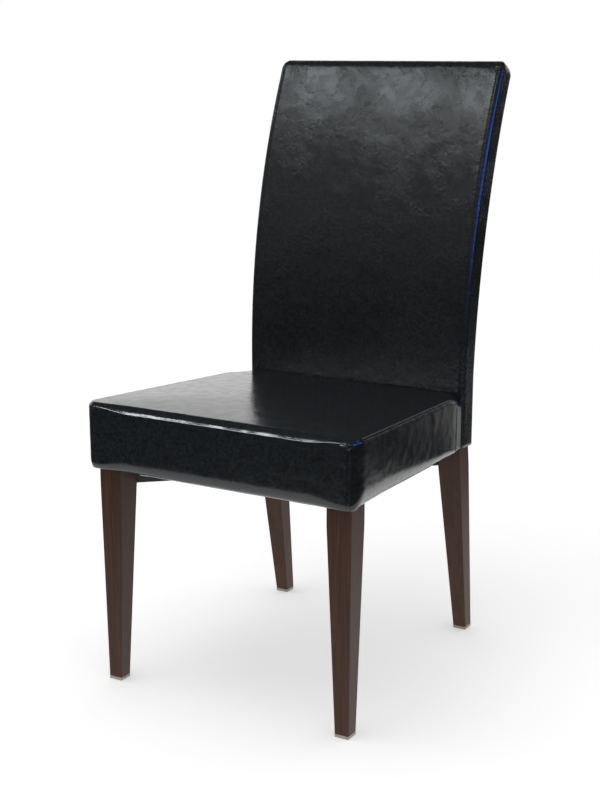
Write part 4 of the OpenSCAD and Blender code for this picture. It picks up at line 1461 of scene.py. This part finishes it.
class CHAIR_OT_fibre_strips(bpy.types.Operator):
    """Pale fibre strips under the rails that hold the leather's hem"""
    bl_idname = "chair.fibre_strips"
    bl_label = "Fibre strips"
    strip_w = 12 * MM
    front_gap = 42 * MM
    steps = 40

    def execute(self, context):
        s = sizes()
        inner, out_of_line = 14.5 * MM, 7 * MM
        half = s.front_in - self.front_gap
        y0 = s.front_y + s.tuck_front + 8 * MM
        shares = [i / self.steps for i in range(self.steps + 1)]
        xs = [-half + 2 * half * share_x for share_x in shares]
        rows = [[(x, y0 - out_of_line * smooth_step(40 * MM - half, -half, x), x, inner)
                 for x in xs]]
        for side in (-1, 1):
            rows.append([self.side_row(s, side, share_back) for share_back in shares])
        points, faces = [], []
        for row in rows:
            first = len(points)
            for x0, y_out, x1, y_in in row:
                for x, y in ((x0, y_out), (x1, y_in)):
                    for drop in (0.0, s.strip_th):
                        wave = 0.15 * MM * noise.noise(Vector((x * 40, y * 40, 3.1)))
                        points.append((x, y - s.mid_y, hem_z(s, y) - drop + wave))
            last = len(row) - 1
            for i in range(last):
                a, b = first + 4 * i, first + 4 * i + 4
                faces += [(a, b, b + 2, a + 2), (a + 1, a + 3, b + 3, b + 1),
                          (a, a + 1, b + 1, b), (a + 2, b + 2, b + 3, a + 3)]
            end = first + 4 * last
            faces += [(first, first + 2, first + 3, first + 1), (end, end + 1, end + 3, end + 2)]
        strips = mesh_object("fibre_strips", points, faces)
        clean_mesh(strips.data)
        strips = bevelled(strips, 0.3 * MM)
        finish_piece(strips, MATERIALS["fibre_strip"], ["hem_strip"])
        return {"FINISHED"}

    def side_row(self, s, side, share_back):
        """Outer and inner edge of a side strip, from the front leg to the rear one."""
        y = s.leg_w + 6 * MM + (s.post_y - s.leg_w - 12 * MM) * share_back
        level = max(0.0, y) / s.post_y
        rail = s.front_out + (s.rear_out - s.front_out) * level - 2.5 * MM
        outer = min(seat_half_w(s, y) - side_tuck(s, y) - 1 * MM, rail)
        return side * outer, y, side * (rail - self.strip_w), y


def dust_cover_rows(s):
    """Rows of the cloth from front to rear: y, half width between the legs, half width."""
    low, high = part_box("dust_cover")
    y0, y3 = low.y + s.mid_y, high.y + s.mid_y
    y1, y2 = s.leg_w + 1 * MM, s.post_y - 1 * MM
    inner_front, inner_rear = s.front_in - 1 * MM, s.rear_in - 1 * MM
    rows = [(y0, inner_front, 0.0), (y0 + (y1 - y0) / 2, inner_front, 0.0)]
    steps = 24
    for i in range(steps + 1):
        y = y1 + (y2 - y1) * i / steps
        inner = inner_front + (inner_rear - inner_front) * i / steps
        rows.append((y, inner, cloth_edge_x(s, y)))
    rows.append((y3, inner_rear, 0.0))
    return rows


class CHAIR_OT_dust_cover(bpy.types.Operator):
    """Black cloth stretched under the seat and stapled to the fibre strips and rails"""
    bl_idname = "chair.dust_cover"
    bl_label = "Dust cover"
    across = 24
    cloth_th = 0.7 * MM

    def execute(self, context):
        s = sizes()
        rows = dust_cover_rows(s)
        wide = self.across + 3
        index, points, faces = {}, [], []
        for j, (y, inner, outer) in enumerate(rows):
            xs = [-inner + 2 * inner * i / self.across for i in range(self.across + 1)]
            xs = [-outer] + xs + [outer] if outer else [None] + xs + [None]
            for i, x in enumerate(xs):
                if x is not None:
                    index[i, j] = len(points)
                    points.append(self.point(s, x, y, rows[0][0], rows[-1][0]))
        for j in range(len(rows) - 1):
            for i in range(wide - 1):
                corners = [(i, j), (i + 1, j), (i + 1, j + 1), (i, j + 1)]
                if all(corner in index for corner in corners):
                    faces.append([index[c] for c in corners])
        cloth = mesh_object("dust_cloth", points, [face[::-1] for face in faces])
        edge = self.edge_rows(s, rows)
        wall = cloth.modifiers.new("wall", "SOLIDIFY")
        wall.thickness = self.cloth_th
        apply_modifiers(cloth)
        cloth.data.shade_smooth()
        finish_piece(cloth, MATERIALS["dust_cloth"], ["dust_cover"])
        self.staple(edge)
        return {"FINISHED"}

    def point(self, s, x, y, front, rear):
        """The cloth lies on the strips and sags a little between them."""
        most_sag = 1.6 * MM
        u, v = x / s.front_in, (y - front) / (rear - front)
        sag = most_sag * max(0.0, 1 - u * u) * 4 * v * (1 - v)
        sag += 0.25 * MM * noise.noise(Vector((x * 25, y * 25, 1.7)))
        return Vector((x, y - s.mid_y, hem_z(s, y) - s.strip_th - self.cloth_th * 0.3 - sag))

    def edge_rows(self, s, rows):
        """Lines of staples just inside the cloth's edge, as points with their facing."""
        down = Vector((0.0, 0.0, -1.0))
        front, rear = rows[0][0], rows[-1][0]
        side_in, end_in = 5 * MM, 6 * MM

        def below(x, y):
            return self.point(s, x, y, front, rear) + down * MM * 0.4, down

        lines = []
        for sign in (-1, 1):
            lines.append([below(sign * (outer - side_in), y) for y, _, outer in rows if outer][1:-1])
        for y, inner in ((front + end_in, rows[0][1]), (rear - end_in, rows[-1][1])):
            lines.append([below(inner * tenths / 10, y) for tenths in range(-9, 10)])
        return lines

    def staple(self, lines):
        """Wire staples along the lines, their ends sunk into the cloth."""
        wire_r, end_r = 0.4 * MM, 0.1 * MM
        shape = spindle("staple_shape", 10 * MM,
                        [(-0.5, end_r), (-0.46, wire_r), (0.0, wire_r), (0.46, wire_r), (0.5, end_r)],
                        sink=0.9 * MM)
        staples = repeat_shape("cloth_staples", lines, shape, MATERIALS["zinc_steel"],
                               pitch=27 * MM, spread=0.05)
        finish_piece(staples, MATERIALS["zinc_steel"])


def islands(node):
    """Boxes of the separate solids in a frame piece, as (low, high)."""
    work = bmesh.new()
    work.from_mesh(NODES[node].data)
    bmesh.ops.remove_doubles(work, verts=work.verts, dist=0.02 * MM)
    left, boxes = set(work.verts), []
    while left:
        stack, seen = [left.pop()], []
        while stack:
            vertex = stack.pop()
            seen.append(vertex.co.copy())
            for edge in vertex.link_edges:
                other = edge.other_vert(vertex)
                if other in left:
                    left.remove(other)
                    stack.append(other)
        boxes.append((Vector(map(min, zip(*seen))), Vector(map(max, zip(*seen)))))
    work.free()
    return sorted(boxes, key=lambda box: tuple(box[0]))


class CHAIR_OT_brace_screws(bpy.types.Operator):
    """Pan-head screws with a cross recess that hold the brace to the legs"""
    bl_idname = "chair.brace_screws"
    bl_label = "Brace screws"
    head_r = 4 * MM
    head_h = 2.5 * MM
    sides = 24

    def execute(self, context):
        row = []
        for low, high in islands("brace_screws"):
            middle = (low + high) / 2
            if high.y - low.y > high.x - low.x:
                facing = Vector((0.0, 1.0, 0.0))
                seat = Vector((middle.x, high.y - self.head_h, middle.z))
            else:
                inward = -math.copysign(1.0, middle.x)
                facing = Vector((inward, 0.0, 0.0))
                seat = Vector((low.x if inward < 0 else high.x, middle.y, middle.z))
                seat -= facing * self.head_h
            row.append((seat, facing))
        screws = repeat_shape("pan_screws", [row], self.shape(), MATERIALS["zinc_steel"],
                              along_path=False)
        finish_piece(screws, MATERIALS["zinc_steel"], ["brace_screws"])
        return {"FINISHED"}

    def shape(self):
        """A domed head with its cross recess above z = 0, and a threaded shank below."""
        shank, tip, rim = 1.5 * MM, 15 * MM, 0.9 * MM
        slot_h, slot_reach, slot_w = 1.0 * MM, 2.3 * MM, 1.0 * MM
        rings = [(0.02 * MM, -tip)]
        rings += [(shank * (1.25 if i % 2 else 0.95), -tip + (i + 2) * MM * 0.7)
                  for i in range(14)]
        rings += [(shank * 1.2, 0.0), (self.head_r, 0.0), (self.head_r, rim)]
        rings += [(self.head_r * math.cos(a), rim + (self.head_h - rim) * math.sin(a))
                  for a in (0.4, 0.7, 0.95, 1.1, 1.2, 1.3, 1.4, 1.48, 1.54)]
        points = []
        for radius, z in rings:
            for k in range(self.sides):
                turn = 2 * math.pi * k / self.sides
                x, y = radius * math.cos(turn), radius * math.sin(turn)
                slot = z > slot_h and radius < slot_reach and min(abs(x), abs(y)) < slot_w / 2
                points.append((x, y, z - (slot_h if slot else 0.0)))
        last = self.sides * (len(rings) - 1)
        faces = ring_faces(len(rings), self.sides)
        faces += [tuple(range(self.sides))[::-1], tuple(last + k for k in range(self.sides))]
        piece = mesh_object("screw_shape", points, faces)
        clean_mesh(piece.data, 0.000001)
        return piece


class CHAIR_OT_frame_finish(bpy.types.Operator):
    """Materials of the frame pieces that keep their own shape"""
    bl_idname = "chair.frame_finish"
    bl_label = "Frame finishes"

    def execute(self, context):
        finishes = {
            "frame_timber": ["front_rail", "rear_rail", "side_rail_left", "side_rail_right",
                             "corner_block_front_left", "corner_block_front_right",
                             "corner_block_rear_left", "corner_block_rear_right",
                             "back_top_rail", "back_mid_rail", "back_low_rail",
                             "seat_dowels", "back_dowels"],
            "plywood": ["seat_board", "back_panel", "back_rear_panel"],
            "brace_steel": ["brace_strap_left", "brace_strap_right"],
            "zinc_steel": ["block_screws", "seat_board_screws", "back_panel_screws"],
        }
        for finish, names in finishes.items():
            for name in names:
                dress_node(name, MATERIALS[finish])
        return {"FINISHED"}


# Stage

def aim(thing, target):
    """Turns a lamp or camera towards a point."""
    thing.rotation_euler = (Vector(target) - thing.location).to_track_quat("-Z", "Y").to_euler()


def softbox(name, place, target, size, radiance, rgb=(1.0, 1.0, 1.0)):
    """A rectangular lamp whose face has the given radiance at any size."""
    lamp = bpy.data.lights.new(name, "AREA")
    lamp.shape = "RECTANGLE"
    lamp.size, lamp.size_y = size
    lamp.energy = radiance * math.pi * size[0] * size[1]
    lamp.color = rgb
    thing = new_object(name, lamp)
    thing.location = place
    aim(thing, target)
    return thing


def light_only(lamp, *names):
    """Limits a lamp to the named pieces, as a flag beside the lamp does in a studio."""
    lit = bpy.data.collections.new(lamp.name + "_lit")
    for name in names:
        lit.objects.link(bpy.data.objects[name])
    lamp.light_linking.receiver_collection = lit


class CHAIR_OT_stage(bpy.types.Operator):
    """Pale floor, white surroundings, soft lamps and the camera"""
    bl_idname = "chair.stage"
    bl_label = "Stage"
    floor_r, floor_drop = 9.0, 0.2 * MM
    floor_colour, floor_dark = (0.8, 0.8, 0.8), (0.02, 0.02, 0.02)
    floor_lift = 0.36
    paper_light = 1.2
    room_light = 0.75
    wall_light = 1.2
    front_light = 0.25
    dim_light = 0.03
    cool_white, blue = (0.92, 0.97, 1.0), (0.04, 0.18, 1.0)

    def execute(self, context):
        context.scene.view_settings.view_transform = "Standard"
        self.floor()
        self.surroundings()
        self.lamps()
        self.camera()
        return {"FINISHED"}

    def floor(self):
        """A disc that is white to the camera and keeps the chair's shadow."""
        work = bmesh.new()
        bmesh.ops.create_circle(work, cap_ends=True, radius=self.floor_r, segments=96)
        mesh = bpy.data.meshes.new("floor")
        work.to_mesh(mesh)
        work.free()
        floor = new_object("floor", mesh)
        floor.location.z = -self.floor_drop
        mesh.materials.append(self.floor_material())

    def floor_material(self):
        """Glows white to the camera away from the chair. Gloss sees pale paper round the feet."""
        m = Shader("pale_floor", self.floor_colour, 1.0)
        m.base.inputs["Specular IOR Level"].default_value = 0.0
        x, y, _ = m.split(m.place)
        length_node = m.node("ShaderNodeVectorMath", operation="LENGTH")
        m.link(m.place, length_node.inputs[0])
        reach = length_node.outputs["Value"]
        near = m.ranged(reach, 0.8, 2.0, 1.0, 0.0)
        paper = m.ranged(reach, 0.9, 1.35, 1.0, 0.0)
        side = m.math("SUBTRACT", x, m.times(y, 0.5))
        behind = m.times(m.ranged(y, 0.3, 0.9), m.ranged(y, 2.0, 3.0, 1.0, 0.0),
                         m.ranged(side, -0.35, -0.02, 0.45, 0.0))
        path = m.node("ShaderNodeLightPath")
        to_camera, to_gloss = path.outputs["Is Camera Ray"], path.outputs["Is Glossy Ray"]
        seen = m.math("ADD", m.times(near, self.floor_lift - 1.0), 1.0)
        mirrored = m.math("MAXIMUM", behind, m.times(paper, self.paper_light))
        shown = m.math("ADD", m.times(seen, to_camera), m.times(mirrored, to_gloss))
        glowing = m.node("ShaderNodeEmission")
        m.link(shown, glowing.inputs["Strength"])
        m.mixed(m.times(near, m.math("SUBTRACT", 1.0, to_gloss)), self.floor_dark, self.floor_colour)
        added = m.node("ShaderNodeAddShader")
        m.link(m.base.outputs["BSDF"], added.inputs[0])
        m.link(glowing.outputs["Emission"], added.inputs[1])
        m.link(added.outputs["Shader"], m.tree.nodes["Material Output"].inputs["Surface"])
        return m.material

    def surroundings(self):
        """White to the camera, even light to matt faces. Gloss sees a bright wall low behind
        the chair, a patch of light in front and an otherwise dim room."""
        world = bpy.data.worlds.new("studio")
        bpy.context.scene.world = world
        world.use_nodes = True
        w = NodeWork(world.node_tree)
        x, y, z = w.split(w.node("ShaderNodeTexCoord").outputs["Generated"])
        left = w.ranged(w.math("SUBTRACT", x, w.times(y, 0.5)), -0.5, -0.2, 1.0, 0.0)
        wall = w.times(w.ranged(y, 0.0, 0.4, 0.0, self.wall_light),
                       w.ranged(z, 0.36, 0.5, 1.0, 0.0), left)
        room = w.times(w.ranged(y, -0.6, -0.2, self.front_light, 0.0),
                       w.ranged(z, 0.0, 0.3, 0.0, 1.0), w.ranged(z, 0.5, 0.62, 1.0, 0.15))
        gloss = w.math("ADD", w.math("ADD", wall, room), self.dim_light)
        path = w.node("ShaderNodeLightPath")
        mirrored = w.times(w.math("SUBTRACT", gloss, self.room_light),
                           path.outputs["Is Glossy Ray"])
        strength = w.math("MAXIMUM", w.math("ADD", mirrored, self.room_light),
                          path.outputs["Is Camera Ray"])
        background = w.tree.nodes["Background"].inputs
        w.link(strength, background["Strength"])
        background["Color"].default_value = (1.0, 1.0, 1.0, 1.0)

    def lamps(self):
        """A strip for the seat's leather, one for the back's, a soft top light, a blue window."""
        key = softbox("key_strip", place=(-3.6, -5.1, 4.7), target=(0.0, -0.3, 0.47),
                      size=(3.4, 1.1), radiance=22.0, rgb=self.cool_white)
        light_only(key, "seat_leather")
        sheen = softbox("back_softbox", place=(-2.2, -2.6, 3.95), target=(0.0, 0.24, 0.96),
                        size=(3.2, 0.45), radiance=9.0, rgb=self.cool_white)
        light_only(sheen, "back_leather")
        soft = softbox("top_softbox", place=(-0.4, -0.5, 2.7), target=(0.0, 0.0, 0.4),
                       size=(1.7, 1.7), radiance=1.6)
        soft.visible_glossy = False
        blue = softbox("blue_window", place=(2.17, -0.15, 1.38), target=(0.2, 0.2, 0.85),
                       size=(2.4, 0.8), radiance=9.0, rgb=self.blue)
        blue.visible_diffuse = False

    def camera(self):
        """The photograph's viewpoint, found from the legs, the seat and the back's outline."""
        data = bpy.data.cameras.new("camera")
        data.sensor_fit = "HORIZONTAL"
        data.sensor_width = 36.0
        data.lens = 88.39
        camera = new_object("camera", data)
        camera.location = (1.2014, -2.08943, 1.0194)
        camera.rotation_euler = (math.radians(76.61), 0.0, math.radians(30.38))
        bpy.context.scene.camera = camera


class CHAIR_PT_panel(bpy.types.Panel):
    """Sizes, seams, colours and steps of the chair"""
    bl_idname = "CHAIR_PT_panel"
    bl_label = "Dining chair"
    bl_space_type = "VIEW_3D"
    bl_region_type = "UI"
    bl_category = "Chair"

    def draw(self, context):
        scene = context.scene
        for title, group in (("Sizes", scene.chair_sizes), ("Seams", scene.chair_seams),
                             ("Finish", scene.chair_finish)):
            box = self.layout.box()
            box.label(text=title)
            for name in group.__annotations__:
                box.prop(group, name)
        for step in STEPS:
            self.layout.operator(step.bl_idname)


GROUPS = (("chair_sizes", ChairSizes), ("chair_seams", ChairSeams), ("chair_finish", ChairFinish))
STEPS = (CHAIR_OT_legs, CHAIR_OT_glides, CHAIR_OT_seat_leather, CHAIR_OT_back_leather,
         CHAIR_OT_foam, CHAIR_OT_fibre_strips, CHAIR_OT_dust_cover, CHAIR_OT_brace_screws,
         CHAIR_OT_frame_finish, CHAIR_OT_stage)


def register():
    for _, group in GROUPS:
        bpy.utils.register_class(group)
    for name, group in GROUPS:
        setattr(bpy.types.Scene, name, bpy.props.PointerProperty(type=group))
    for step in STEPS:
        bpy.utils.register_class(step)
    bpy.utils.register_class(CHAIR_PT_panel)


def unregister():
    bpy.utils.unregister_class(CHAIR_PT_panel)
    for step in reversed(STEPS):
        bpy.utils.unregister_class(step)
    for name, group in reversed(GROUPS):
        delattr(bpy.types.Scene, name)
        bpy.utils.unregister_class(group)


def main():
    """Builds the chair's visual model."""
    register()
    make_materials()
    bpy.ops.chair.legs()
    bpy.ops.chair.glides()
    bpy.ops.chair.seat_leather()
    bpy.ops.chair.back_leather()
    bpy.ops.chair.foam()
    bpy.ops.chair.fibre_strips()
    bpy.ops.chair.dust_cover()
    bpy.ops.chair.brace_screws()
    bpy.ops.chair.frame_finish()
    bpy.ops.chair.stage()


if __name__ == "__main__":
    main()
